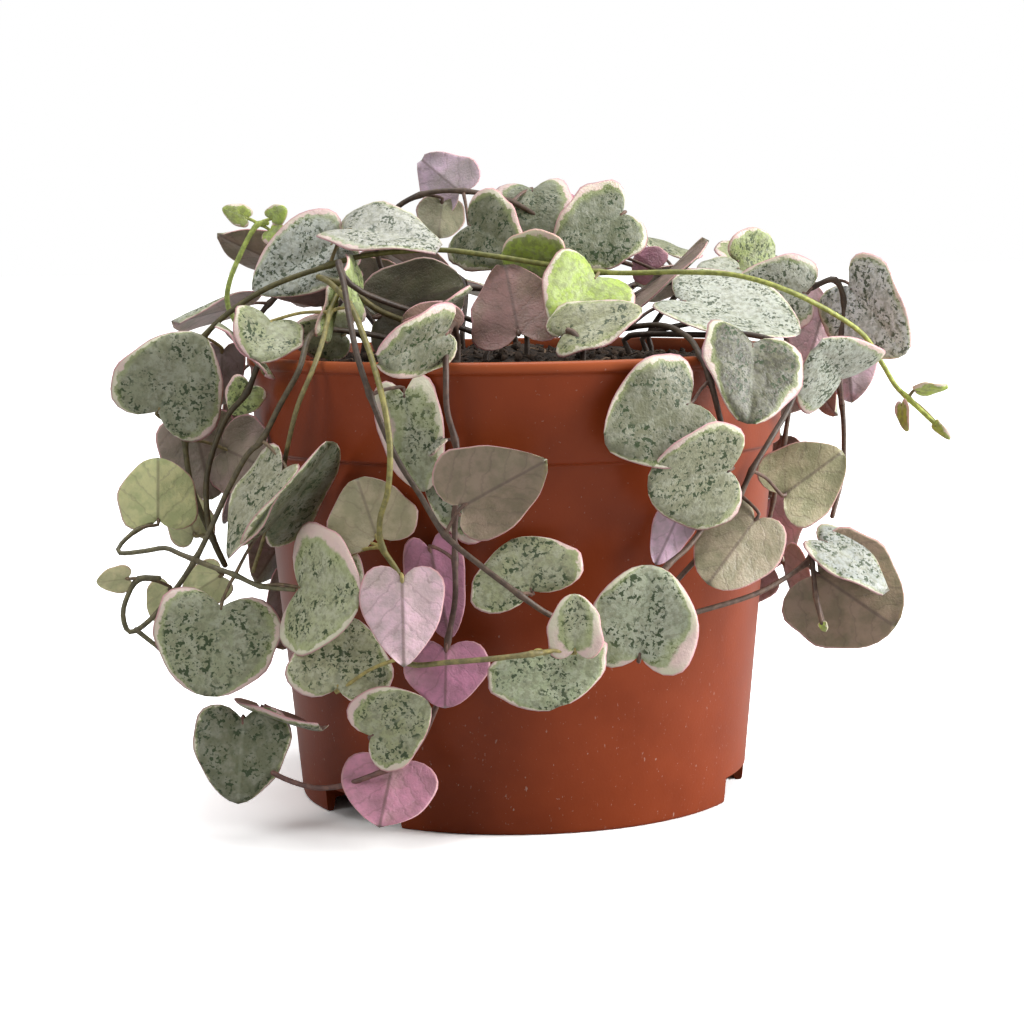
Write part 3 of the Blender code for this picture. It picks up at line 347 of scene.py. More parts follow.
    ),
}

# Finer sizes for the visible pieces
POT_FACES_ROUND = 180
POT_CORNER = 0.45
MOST_CUT = 0.45
SHARP_ANGLE = radians(50)
STEM_SLIMMING = 0.60
SHOOT_SLIMMING = 0.74
STALK_SLIMMING = 0.74
STEM_SPACING = 1.3
STALK_SPACING = 0.9
STEM_SUNK = 5.0
KNOT_SWELL, KNOT_REACH = 0.38, 1.1
STEM_SIDES, STALK_SIDES, FIBRE_SIDES = 10, 8, 5
END_SHARE = 0.5
SECTION_WAYS = ((0.9, 0.3, 0.3), (-0.3, 0.9, 0.3), (0.3, -0.3, 0.9))
STALK_DIP, STALK_INSIDE, STALK_ARCH = 0.7, 0.07, 0.06
STALK_ENDS, STALK_WAIST = 1.05, 0.22

# A blade's rows from notch to tip, and its shares of the way from midrib to rim
BLADE_ROWS = 19
BLADE_SHARES = (0.0, 0.12, 0.38, 0.64, 0.84, 0.95, 1.0)
BLADE_HALF_THICKNESS = 0.52
RIB_EASE = 1.15
RIM_ROUNDNESS = 2.4
BASE_TAPER, TIP_TAPER, TAPER_POWER = 0.16, 0.2, 0.6

# How a leaf departs from its flat outline. Pairs are ranges to draw from. The heights are for a
# leaf FULL_LENGTH long or longer, and a shorter one has less of them.
FULL_LENGTH = 14
RIPPLE_TURNS, RIPPLE_LAG, RIPPLE_SHARE = (9, 15), (0, 2), (0.015, 0.045)
WAVE_TURNS, WAVE_LAG, WAVE_HEIGHT = (6, 10), (0.4, 2.4), (0.25, 0.7)
CUP_HEIGHT = (-1.0, 0.5)
ROLL_DEPTH = (0.1, 0.7)
BEND_SHARE = (0.0, 0.085)
FOLD_ROUNDING = 0.6
RIB_WIDTH, GROOVE_ABOVE, RIB_BELOW = 0.45, 0.16, 0.24
SHADE_RANGE = (0.86, 1.14)
TINT_RANGE = ((0.95, 0.97, 0.90), (1.05, 1.03, 1.10))
SIDE_SHARPNESS = 6

# Soil surface: spacing and height of each size of lump, and its rings
SOIL_LUMPS = ((9.0, 1.5), (4.0, 1.2), (1.9, 0.9), (0.9, 0.5))
LUMP_CELLS, LUMP_START = 64, 200
SOIL_RINGS, SOIL_FACES_ROUND = 74, 220
SOIL_MIDDLE, SOIL_SHOULDER, SOIL_TOP_DEPTH = 0.4, 3, 1

# Crumbs and fibres on the soil
CRUMBS = 1500
CRUMB_REACH = 48.5
CRUMB_SMALLEST, CRUMB_SPREAD = 0.35, 1.0
CRUMB_LEAST, CRUMB_UNEVEN, CRUMB_LIFT = 0.75, 0.5, 0.15
CRUMB_CORNERS = ((1, 0, 0), (0.3, 0.9, 0), (-0.8, 0.6, 0), (-0.8, -0.6, 0), (0.3, -0.9, 0),
                 (0, 0, 0.8), (0, 0, -0.8))
FIBRES = 90
FIBRE_POINTS = 8
FIBRE_REACH, FIBRE_LIMIT, FIBRE_LIFT = 44, 48, 0.25
FIBRE_LENGTH, FIBRE_BEND, FIBRE_RADIUS = (4, 11), (-0.12, 0.12), (0.09, 0.2)
FIBRE_TONE, FIBRE_SHADE = (0.16, 0.10, 0.06), (0.5, 1.6)

# One half of each leaf outline from notch to tip, for a leaf one long: blunt, round and pointed.
# A leaf with a capital letter is pointed, and the others are blunt or round.
OUTLINES = (
    ((0.0, 0.02), (0.13, -0.11), (0.31, -0.15), (0.47, -0.06), (0.54, 0.15), (0.51, 0.4), (0.4, 0.65),
     (0.23, 0.86), (0.09, 0.965), (0.0, 0.99)),
    ((0.0, 0.04), (0.12, -0.07), (0.3, -0.12), (0.47, -0.03), (0.55, 0.19), (0.53, 0.45), (0.43, 0.69),
     (0.25, 0.89), (0.1, 0.965), (0.0, 0.98)),
    ((0.0, 0.0), (0.14, -0.13), (0.33, -0.15), (0.48, -0.04), (0.53, 0.16), (0.46, 0.43), (0.31, 0.7),
     (0.14, 0.9), (0.04, 0.985), (0.0, 1.0)),
)
# The share of leaves, pointed ones aside, that have the round outline
ROUND_SHARE = 0.35

# What a leaf looks like: its upper side, its underside, how mottled it is and how wide its margin, in mm.
# g is green, h and d darker, k darkest above, s silver, i the palest silver, partly painted light, l lime, its
# underside partly painted light, y young green and w wide in the margin. The rest are named for undersides:
# p pale green, v violet, m pink, o olive, n tan, b brown.
Look = namedtuple("Look", "upper under mottle margin")
LOOKS = {
    "g": Look((0.345, 0.36, 0.225), (0.30, 0.23, 0.20), 1.00, 0.8),
    "h": Look((0.17, 0.18, 0.115), (0.26, 0.20, 0.17), 1.00, 0.9),
    "s": Look((0.46, 0.48, 0.41), (0.42, 0.33, 0.33), 0.95, 0.7),
    # The lime underside is paler than the upper side, partly in its own colour and partly as painted light
    # shining through the leaf.
    "l": Look((0.47, 0.60, 0.12), (0.60, 0.70, 0.22), 0.06, 0.7),
    "y": Look((0.36, 0.45, 0.17), (0.46, 0.50, 0.22), 0.85, 0.7),
    "d": Look((0.17, 0.175, 0.105), (0.13, 0.115, 0.07), 1.00, 0.4),
    "k": Look((0.085, 0.08, 0.05), (0.22, 0.17, 0.14), 1.00, 1.1),
    # The palest silver is a brighter copy of s for a leaf the lamps light too little: partly its own paler
    # silver, partly painted light.
    "i": Look((0.70, 0.70, 0.66), (0.44, 0.36, 0.36), 0.90, 0.7),
    "w": Look((0.385, 0.40, 0.27), (0.42, 0.38, 0.31), 1.00, 1.9),
    "p": Look((0.36, 0.39, 0.25), (0.66, 0.68, 0.38), 0.90, 0.6),
    "v": Look((0.42, 0.43, 0.35), (0.64, 0.47, 0.52), 0.90, 0.7),
    "m": Look((0.36, 0.36, 0.28), (0.53, 0.24, 0.32), 0.90, 0.8),
    "o": Look((0.32, 0.33, 0.21), (0.33, 0.25, 0.18), 0.90, 1.0),
    "n": Look((0.36, 0.37, 0.28), (0.36, 0.33, 0.21), 0.90, 0.6),
    "b": Look((0.29, 0.28, 0.22), (0.26, 0.165, 0.14), 0.90, 0.7),
}
# A letter for each leaf of a vine, in the table's order
LEAF_LOOKS = {
    "vine_arch": "ggssllgyggpglll",
    "vine_hook": "hgppppgw",
    "vine_yellow": "nwgVgwgyyg",
    "vine_swag": "wOgsol",
    "vine_pink": "mmmgmdbbbhg",
    "vine_right_inner": "khgvws",
    "vine_right_outer": "nn",
    "vine_right_node": "sivvs",
    "vine_crown": "vnhhmhm",
    "vine_crown_right": "hsy",
    "vine_centre": "db",
    "vine_front": "g",
    "vine_young": "lll",
}
GROWN_LOOKS = "ggGsgwvyghSg"
GROWN_LOOKS_DRAWN = 40

# Stem colours from the root to the tip
STEM_TONES = {
    "vine_arch": ((0.045, 0.028, 0.020), (0.13, 0.12, 0.045), (0.42, 0.48, 0.10)),
    "vine_yellow": ((0.10, 0.08, 0.035), (0.26, 0.24, 0.075), (0.22, 0.19, 0.08)),
    "vine_pink": ((0.075, 0.048, 0.035), (0.12, 0.070, 0.055), (0.20, 0.10, 0.085)),
    "vine_hook": ((0.07, 0.045, 0.032), (0.12, 0.10, 0.055), (0.16, 0.15, 0.08)),
    "vine_young": ((0.22, 0.27, 0.09), (0.34, 0.43, 0.11), (0.46, 0.58, 0.14)),
}
USUAL_TONES = ((0.055, 0.036, 0.026), (0.085, 0.060, 0.042), (0.15, 0.095, 0.068))
STALK_PALER, STALK_BLUSH = 1.2, (0.045, 0.016, 0.014)
STREAK_DARK, STREAK_PALE = (0.72, 0.70, 0.70), (1.30, 1.25, 1.18)

# Leaf colours, and how far light goes into the skin, in metres
SILVER = (0.57, 0.565, 0.48)
DULL_GREEN = (0.20, 0.20, 0.12)
FLECK_GREEN = (0.034, 0.060, 0.020)
MARGIN_YELLOW, MARGIN_CREAM, MARGIN_BLUSH = (0.40, 0.46, 0.18), (0.76, 0.72, 0.56), (0.78, 0.58, 0.55)
SMOKE_DARK, SMOKE_PALE = (0.80, 0.83, 0.78), (1.12, 1.07, 1.10)
OLIVE_PATCH = (0.30, 0.31, 0.17)
VEIN_DARK, VEIN_PALE = (0.13, 0.085, 0.07), (0.50, 0.53, 0.40)
RIM_PINK = (0.72, 0.30, 0.36)
SKIN_DEPTH = (0.0010, 0.0010, 0.0005)

# Side veins: how far apart, how much they lean to the tip and how far they wander, in mm
SIDE_VEIN_SPACING, SIDE_VEIN_SLANT, SIDE_VEIN_WANDER = 4.2, 0.95, 5.0

# Pot and peat colours, with a painted highlight for the rim's outer band, and the heights in mm
# between which that highlight is painted and the pot's foot is scuffed
POT_DARK, POT_LIGHT, LIP_HIGHLIGHT = (0.225, 0.036, 0.0075), (0.275, 0.047, 0.011), (0.52, 0.135, 0.045)
DUST = (0.62, 0.50, 0.43)
LIP_HIGHLIGHT_BELOW_TOP = 0.6
SCUFFED_FROM, SCUFFED_TO = 46.0, 2.0
PEAT_DARK, PEAT_BROWN = (0.012, 0.008, 0.006), (0.060, 0.036, 0.022)
CRUMB_BROWN, PEAT_GRAIN = (0.10, 0.062, 0.04), (0.20, 0.15, 0.10)

# Studio, in metres: the floor's tone for light and for the camera, the sun, and each softbox's name,
# place, size and power
FLOOR_HALF = 8.0
FLOOR_TONES = (0.45, 1.6)
SURROUNDINGS = 0.27
SUN_TOWARD, SUN_STRENGTH, SUN_SPREAD = (-0.04, -0.12, -1.0), 2.2, radians(48)
LIGHT_AIM = (0, 0, 0.06)
SOFTBOXES = (
    ("softbox_right", (0.90, -0.10, 0.34), (0.5, 0.7), 14.5),
    ("softbox_left", (-0.62, -0.62, 0.62), (0.35, 0.6), 2.4),
)
NEAREST_SEEN = 0.01


# Where the vines go, as in the part's source

def mm(length):
    return length * MILLIMETRE


def seen(across, up, toward):
    """The point in mm seen this far right of and above the picture's middle, and this much nearer."""
    on_plane = AIM + RIGHT * across + UP * up
    return EYE + (on_plane - EYE) * (1 - toward / EYE_DISTANCE)


def unit(vector):
    return vector / max(np.linalg.norm(vector), 1e-9)


def smooth(points, step):
    """Points about a step apart on a smooth curve through these.

    Each stretch is a cubic whose slope at a point is half the way between its two neighbours.
    """
    points = [np.asarray(point, float) for point in points]
    ends = [2 * points[0] - points[1]] + points + [2 * points[-1] - points[-2]]
    curve = []
    for before, start, end, after in zip(ends, ends[1:], ends[2:], ends[3:]):
        count = max(1, round(np.linalg.norm(end - start) / step))
        for index in range(count):
            t = index / count
            curve.append(
                0.5 * (2 * start + (end - before) * t
                       + (2 * before - 5 * start + 4 * end - after) * t * t
                       + (3 * start - before - 3 * end + after) * t ** 3)
            )
    return curve + [points[-1]]


def laid_out(vine):
    """A vine of the table, with its points and its leaves' upper sides worked out."""
    blades = []
    for leaf in vine.leaves:
        base = seen(*leaf.base)
        tip = seen(*leaf.tip)
        along = unit(tip - base)
        to_eye = unit(EYE - base)
        facing = unit(to_eye - along * to_eye.dot(along))
        angle = radians(leaf.turn)
        upper = facing * cos(angle) + np.cross(along, facing) * sin(angle)
        blades.append(Blade(base, tip, upper, leaf.breadth, leaf.fold))
    route = [seen(*point) for point in vine.route]
    shoots = [[seen(*point) for point in shoot] for shoot in vine.shoots]
    return Plant(vine.root, route, shoots, blades)


def blade_frame(blade):
    """A blade's length in mm and its axes: across, along and out of its upper side."""
    along = unit(blade.tip - blade.base)
    upper = unit(blade.upper - along * blade.upper.dot(along))
    return np.linalg.norm(blade.tip - blade.base), np.cross(along, upper), along, upper


def blade_point(blade, x, y):
    """The point of a blade at x across and y along it, with both halves folded up along its midrib."""
    _, across, along, upper = blade_frame(blade)
    fold = radians(blade.fold)
    return blade.base + across * x * cos(fold) + along * y + upper * (abs(x) * sin(fold))


def stalk_points(blade, stem):
    """The stalk's way from the nearest point of the stem into the blade's midrib, mostly from underneath."""
    length, _, along, upper = blade_frame(blade)
    start = min(stem, key=lambda point: np.linalg.norm(point - blade.base))
    end = blade.base + along * STALK_INTO * length
    below = (start - blade.base).dot(upper) < -STALK_UNDER / 2
    beyond = (start - blade.base).dot(along) > 0
    if below or beyond:
        return [start, start * 0.5 + end * 0.5, end]
    under = blade.base - along * STALK_BACK - upper * STALK_UNDER
    return [start, (start + under) / 2, under, end]


def soil_height(x, y):
    """Height in mm of the soil's top: a low dome with lumps of two sizes."""
    reach = min(1.0, (x * x + y * y) ** 0.5 / SOIL_REACH)
    (wide_x, wide_y), (fine_x, fine_y) = LUMP_WAVES
    lumps = sin(x * wide_x + LUMP_SHIFT) * cos(y * wide_y) + LUMP_SHARE * sin(x * fine_x - y * fine_y)
    return SOIL_EDGE + SOIL_DOME * (1 - reach * reach) + SOIL_LUMP * lumps * (1 - reach ** 4)


def stem_points(plant, step=STEM_STEP, depth=ROOT_DEPTH):
    """The main stem: straight up out of its hole, then along its route."""
    x, y = plant.root
    top = soil_height(x, y)
    foot = np.array((x, y, top - depth))
    risen = [np.array((x, y, top + rise)) for rise in STEM_RISES]
    return [foot] + smooth(risen + plant.route, step)


def pot_inner_radius(height):
    """The inside radius of the pot at a height, below and above the step under its band."""
    if height < BAND_BOTTOM:
        slope = (WALL_TOP_RADIUS - BASE_RADIUS) / BAND_BOTTOM
        return BASE_RADIUS + slope * height - WALL
    slope = (LIP_RADIUS - BAND_RADIUS - BAND_TAPER) / (POT_HEIGHT - BAND_BOTTOM)
    return BAND_RADIUS + slope * (height - BAND_BOTTOM) - WALL


def pot_profile():
    """The pot's section, from the boss under the floor out to the foot, up outside and down inside."""
    lip_bottom = POT_HEIGHT - LIP_HEIGHT
    return [
        (0, 0),
        (BOSS_RADIUS, 0),
        (BOSS_RADIUS + BOSS_TAPER, FLOOR_UNDERSIDE),
        (BASE_RADIUS - WALL - FOOT_TAPER, FLOOR_UNDERSIDE),
        (BASE_RADIUS - WALL, 0),
        (BASE_RADIUS - FOOT_EDGE, 0),
        (BASE_RADIUS, EDGE),
        (WALL_TOP_RADIUS, BAND_BOTTOM),
        (BAND_RADIUS, BAND_BOTTOM + EDGE),
        (LIP_RADIUS - BAND_TAPER, lip_bottom),
        (LIP_RADIUS, lip_bottom + EDGE),
        (LIP_RADIUS, POT_HEIGHT - EDGE),
        (LIP_RADIUS - EDGE, POT_HEIGHT),
        (LIP_RADIUS - WALL - LIP_INSET, POT_HEIGHT),
        (pot_inner_radius(lip_bottom), lip_bottom),
        (pot_inner_radius(BAND_BOTTOM + BAND_STEP), BAND_BOTTOM + BAND_STEP),
        (pot_inner_radius(BAND_BOTTOM - BAND_STEP), BAND_BOTTOM - BAND_STEP),
        (pot_inner_radius(FLOOR_TOP), FLOOR_TOP),
        (0, FLOOR_TOP),
    ]


def blade_samples(blade):
    """Points spread over a blade, which other blades and stems keep clear of."""
    length = blade_frame(blade)[0]
    half = SAMPLE_HALF * length * blade.breadth
    return [blade_point(blade, side * half, share * length)
            for side in SAMPLE_SIDES for share in SAMPLE_SHARES
            if abs(side) * share < SAMPLE_CORNER]


def apart(points, taken, gap):
    """Whether every one of these points is further than gap from every taken one."""
    apart_by = np.linalg.norm(np.array(points)[:, None, :] - np.array(taken)[None, :, :], axis=2)
    return apart_by.min() > gap


def clear_of(points, taken, gap):
    """Whether every one of these points is further than gap from every taken one and from the pot."""
    points = np.array(points)
    reach = np.hypot(points[:, 0], points[:, 1])
    over_pot = points[:, 2] > POT_HEIGHT + POT_GAP
    if ((reach < LIP_RADIUS + POT_GAP) & ~over_pot).any() or points[:, 2].min() < LOWEST_LEAF:
        return False
    return apart(points, taken, gap)


def around(angle, reach, height):
    return np.array((reach * cos(angle), reach * sin(angle), height))


def grown_route(angle, rng):
    """A vine's way: up from the soil, over the rim, then down outside the pot with a slow sway."""
    drop = rng.uniform(*GROWN_DROP)
    sway = rng.uniform(-GROWN_SWAY, GROWN_SWAY)
    crest = rng.uniform(*GROWN_CREST)
    shoulder = crest - SHOULDER_DROP
    inside, over_rim, outside = GROWN_REACHES
    route = [
        around(angle - sway, inside, crest - BEFORE_CREST),
        around(angle, over_rim, crest),
        around(angle, outside, shoulder),
    ]
    count = max(2, round(drop / ROUTE_STEP))
    for index in range(1, count + 1):
        share = index / count
        reach = HANGING_REACH + HANGING_SWING * sin(3 * share + angle)
        route.append(around(angle + sway * share * 2, reach, shoulder - drop * share))
    return route


def grown_blade(point, outward, aside, rng, crown):
    """A leaf beside a point of a stem: level over the crown, hanging and facing out lower down."""
    size = rng.uniform(*GROWN_LEAF)
    up = np.array((0, 0, 1.0))
    base = point + aside * rng.uniform(*OFF_ASIDE) + outward * rng.uniform(*OFF_OUTWARD)
    if crown:
        base = base + up * rng.uniform(*OFF_UP)
        way = outward * rng.uniform(*CROWN_OUTWARD) + aside * rng.uniform(*CROWN_ASIDE)
        way = unit(way + up * rng.uniform(*CROWN_UP))
        upper = up + outward * FACING_SHARE
    else:
        way = unit(-up + aside * rng.uniform(*HANGING_ASIDE) + outward * rng.uniform(*HANGING_OUTWARD))
        upper = outward + up * FACING_SHARE + aside * rng.uniform(*HANGING_TWIST)
    return Blade(base, base + way * size, upper, rng.uniform(*GROWN_BREADTH), rng.uniform(*GROWN_FOLD))


def grown_plants(plants):
    """Vines for the sides and back, which the photograph hides, kept clear of the ones in the table."""
    rng = np.random.default_rng(SEED)
    taken = []
    for plant in plants.values():
        taken += smooth(stem_points(plant), SAMPLE_STEP)
        for blade in plant.blades:
            taken += blade_samples(blade)
    grown = {}
    for number, degrees in enumerate(GROWN_ANGLES, 1):
        angle = radians(degrees)
        root = around(angle, ROOT_REACHES[number % 2], 0)[:2]
        for _ in range(GROWN_TRIES):
            plant = Plant(tuple(root), grown_route(angle, rng), [], [])
            if apart(smooth(stem_points(plant), SAMPLE_STEP), taken, LEAF_GAP):
                break
        taken += smooth(stem_points(plant), SAMPLE_STEP)
        grown[f"vine_back_{number}"] = plant
    for plant in grown.values():
        stem = smooth(stem_points(plant)[RISEN_POINTS:], SAMPLE_STEP)
        for share in GROWN_NODES:
            point = stem[int(share * (len(stem) - 1))]
            outward = unit(np.array((point[0], point[1], 0)))
            sideways = np.array((-outward[1], outward[0], 0))
            for side in (1, -1):
                add_grown_blade(plant, point, outward, sideways * side, rng, taken)
    return grown


def add_grown_blade(plant, point, outward, aside, rng, taken):
    """Puts a leaf here where one fits clear of the rest, in a few tries."""
    crown = point[2] > POT_HEIGHT + CROWN_ABOVE
    for _ in range(GROWN_TRIES):
        blade = grown_blade(point, outward, aside, rng, crown)
        if clear_of(blade_samples(blade), taken, LEAF_GAP):
            plant.blades.append(blade)
            taken += blade_samples(blade)
            return


# Meshes from arrays

def linked(name, data):
    """A new object of the scene with this data."""
    made = bpy.data.objects.new(name, data)
    bpy.context.scene.collection.objects.link(made)
    return made


def piece_from(name, points_mm, faces, material, values=None):
    """A smooth mesh piece from points in mm and faces, with named values for its points."""
    mesh = bpy.data.meshes.new(name)
    mesh.from_pydata((np.asarray(points_mm, float) * MILLIMETRE).tolist(), [], faces)
    for key, value in (values or {}).items():
        value = np.asarray(value, np.float32)
        if value.ndim == 2:
            value = np.column_stack([value, np.ones(len(value), np.float32)])
            mesh.attributes.new(key, "FLOAT_COLOR", "POINT").data.foreach_set("color", value.ravel())
        else:
            mesh.attributes.new(key, "FLOAT", "POINT").data.foreach_set("value", value)
    mesh.polygons.foreach_set("use_smooth", [True] * len(mesh.polygons))
    mesh.materials.append(material)
    mesh.update()
    made = linked(name, mesh)
    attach(made, "root")
    return made


def gathered(parts):
    """Many (points, faces, values) joined in one, the later faces counted on from the earlier points."""
    points, faces, values, shift = [], [], {}, 0
    for part_points, part_faces, part_values in parts:
        points.append(part_points)
        faces += [tuple(corner + shift for corner in face) for face in part_faces]
        for key, value in part_values.items():
            values.setdefault(key, []).append(value)
        shift += len(part_points)
    return np.concatenate(points), faces, {key: np.concatenate(value) for key, value in values.items()}


def ring_faces(rings, sides):
    """The four-cornered faces between rings of points that follow one another."""
    first = np.arange((rings - 1) * sides)
    beside = first - first % sides + (first + 1) % sides
    return [tuple(face) for face in np.column_stack([first, beside, beside + sides, first + sides]).tolist()]


def sweep(path, radii, tones, sides):
    """A round section of the given radii carried along a path and closed at both ends.

    The section stands square to the path, and is turned from one fixed direction, the one of three
    that the path is least parallel to. A last ring of half the radius rounds off each end.
    """
    path = np.asarray(path, float)
    radii = np.asarray(radii, float)
    tones = np.asarray(tones, float)
    along = np.gradient(path, axis=0)
    along /= np.linalg.norm(along, axis=1, keepdims=True) + 1e-12
    ways = np.array(SECTION_WAYS)
    slack = [np.linalg.norm(np.cross(along, way), axis=1).min() for way in ways]
    side = np.cross(along, ways[int(np.argmax(slack))])
    side /= np.linalg.norm(side, axis=1, keepdims=True)
    other = np.cross(along, side)
    beyond = along[[0, -1]] * radii[[0, -1], None] * END_SHARE
    path = np.vstack([path[0] - beyond[0], path, path[-1] + beyond[1]])
    side = np.vstack([side[0], side, side[-1]])
    other = np.vstack([other[0], other, other[-1]])
    radii = np.concatenate([[radii[0] * END_SHARE], radii, [radii[-1] * END_SHARE]])
    tones = np.vstack([tones[0], tones, tones[-1]])
    turn = np.arange(sides) * tau / sides
    ring = side[:, None] * np.cos(turn)[None, :, None] + other[:, None] * np.sin(turn)[None, :, None]
    points = (path[:, None] + ring * radii[:, None, None]).reshape(-1, 3)
    faces = ring_faces(len(path), sides)
    faces.append(tuple(range(sides))[::-1])
    faces.append(tuple(range(len(points) - sides, len(points))))
    return points, faces, {"tone": np.repeat(tones, sides, axis=0)}


# Leaves

def leaf_outline(half, count):
    """Points evenly spaced along the smooth curve through one half of an outline, from notch to tip."""
    curve = np.array(smooth([(x, y, 0) for x, y in half], 0.02))[:, :2]
    curve[:, 0] = np.maximum(curve[:, 0], 0)
    run = np.concatenate([[0], np.cumsum(np.linalg.norm(np.diff(curve, axis=0), axis=1))])
    at = np.linspace(0, run[-1], count)
    outline = np.column_stack([np.interp(at, run, curve[:, 0]), np.interp(at, run, curve[:, 1])])
    outline[[0, -1]] = half[0], half[-1]
    return outline


def blade_template(half):
    """The blade one long: across, along, height from -1 to 1, share out to the rim, and its faces.

    A point lies a share u of the way from the midrib to the outline, on both halves and both sides.
    Its height is the root of 1 - u to RIM_ROUNDNESS, so that the rim is round, and zero at notch and tip.
    Points that fall together, at the rim, midrib, notch and tip, are made one.
    """
    outline = leaf_outline(half, BLADE_ROWS)
    row = np.linspace(0, 1, BLADE_ROWS)
    rib = np.column_stack([np.zeros(BLADE_ROWS), half[0][1] + (half[-1][1] - half[0][1]) * row ** RIB_EASE])
    share = np.array(BLADE_SHARES)
    flat = rib[:, None] * (1 - share)[None, :, None] + outline[:, None] * share[None, :, None]
    taper = np.clip(np.minimum(row / BASE_TAPER, (1 - row) / TIP_TAPER), 0, 1)[:, None] ** TAPER_POWER
    height = np.sqrt(1 - share ** RIM_ROUNDNESS)[None, :] * taper
    sheets = []
    for side in (1, -1):
        for face in (1, -1):
            sheets.append(np.stack([flat[..., 0] * side, flat[..., 1], height * face,
                                    np.broadcast_to(share, height.shape)], axis=-1))
    every = np.concatenate([sheet.reshape(-1, 4) for sheet in sheets])
    _, first, same = np.unique(np.round(every[:, :3], 5), axis=0, return_index=True, return_inverse=True)
    same = same.reshape(-1)
    columns = len(share)
    corner = np.arange((BLADE_ROWS - 1) * columns)
    corner = corner[corner % columns < columns - 1]
    faces = []
    for index, flip in enumerate((False, True, True, False)):
        start = index * BLADE_ROWS * columns
        quads = np.column_stack([corner, corner + 1, corner + columns + 1, corner + columns]) + start
        quads = same[quads if flip else quads[:, ::-1]]
        for quad in quads.tolist():
            kept = tuple(dict.fromkeys(quad))
            if len(kept) > 2:
                faces.append(kept)
    points = every[first]
    return points, facing_out(points[:, :3], faces)


def facing_out(points, faces):
    """The faces, turned round if the body they close has a negative volume."""
    volume = 0.0
    for face in faces:
        a = points[face[0]]
        for second, third in zip(face[1:], face[2:]):
            volume += np.dot(a, np.cross(points[second], points[third]))
    return faces if volume > 0 else [face[::-1] for face in faces]


def blade_part(blade, letter, templates, rng):
    """One leaf in mm with the values its finish reads.

    Across is x times length and breadth, with slight waves along the outline that fade inwards by
    the cube of the share out. Each half tips up by the fold, rounded over the midrib. To the height
    are added: a slight cup, growing with the square of the share out to the rim; waves of the rim
    along its length; the rim rolled back by the fifth power of the share; a bend towards the tip,
    with the square of the way along; and a groove over the midrib above and a rib below.
    """
    look = LOOKS[letter.lower()]
    blunt, rounder, pointed = templates
    shape, faces = rounder if rng.random() < ROUND_SHARE else blunt
    if letter.isupper():
        shape, faces = pointed
    length, across, along, upper = blade_frame(blade)
    x = shape[:, 0] * length * blade.breadth
    y = shape[:, 1] * length
    height = shape[:, 2]
    share = shape[:, 3]
    side = np.sign(x)
    size = min(1.0, length / FULL_LENGTH)
    ripples = shape[:, 1] * rng.uniform(*RIPPLE_TURNS) + rng.uniform(0, tau) + side * rng.uniform(*RIPPLE_LAG)
    x = x * (1 + rng.uniform(*RIPPLE_SHARE) * np.sin(ripples) * share ** 3)
    fold = radians(blade.fold)
    rounded = np.sqrt(x ** 2 + FOLD_ROUNDING ** 2) - FOLD_ROUNDING
    cup = rng.uniform(*CUP_HEIGHT) * size * share ** 2
    waves = shape[:, 1] * rng.uniform(*WAVE_TURNS) + rng.uniform(0, tau) + side * rng.uniform(*WAVE_LAG)
    wave = rng.uniform(*WAVE_HEIGHT) * size * np.sin(waves) * share ** 2
    roll = -rng.uniform(*ROLL_DEPTH) * size * share ** 5
    bend = -rng.uniform(*BEND_SHARE) * length * shape[:, 1] ** 2
    rib = np.exp(-(x / RIB_WIDTH) ** 2)
    groove = np.where(height > 0, -GROOVE_ABOVE, -RIB_BELOW) * rib * np.abs(height) * size
    thick = BLADE_HALF_THICKNESS * (0.5 + 0.5 * size)
    out = height * thick + rounded * sin(fold) + cup + wave + roll + bend + groove
    points = blade.base + across * (x * cos(fold))[:, None] + along * y[:, None] + upper * out[:, None]
    count = len(points)
    rim = (1 - share) * length * blade.breadth * 0.5
    shade = rng.uniform(*SHADE_RANGE) * rng.uniform(*TINT_RANGE)
    values = {
        "tone": np.tile(np.array(look.upper) * shade, (count, 1)),
        "under": np.tile(np.array(look.under) * shade, (count, 1)),
        "rim": rim,
        "rib": np.abs(x) / size,
        "along": y,
        "topside": np.clip(height * SIDE_SHARPNESS + 0.5, 0, 1),
        "mottle": np.full(count, look.mottle),
        "margin": np.full(count, look.margin * size),
    }
    return points, faces, values


# Stems and stalks

def stem_part(path, thick, thin, tones, knots):
    """A stem from thick to thin that swells a little at each knot, where a leaf's stalk leaves it."""
    path = np.asarray(path, float)
    share = np.linspace(0, 1, len(path))
    radii = thick + (thin - thick) * share ** STEM_TAPER
    if len(knots):
        near = np.linalg.norm(path[:, None] - np.asarray(knots)[None], axis=2).min(axis=1)
        radii = radii * (1 + KNOT_SWELL * np.exp(-(near / KNOT_REACH) ** 2))
    colours = np.array([np.interp(share, (0, 0.5, 1), [tone[k] for tone in tones]) for k in range(3)]).T
    return sweep(path, radii, colours, STEM_SIDES)


def stalk_way(blade, start):
    """The stalk's way from its stem to the notch of its leaf, and a little on into the blade."""
    length, _, along, upper = blade_frame(blade)
    below = blade.base - along * STALK_BACK - upper * STALK_DIP
    inside = blade.base + along * length * STALK_INSIDE
    arch = (start + below) / 2 + np.array((0, 0, STALK_ARCH)) * np.linalg.norm(below - start)
    return smooth([start, arch, below, inside], STALK_SPACING)


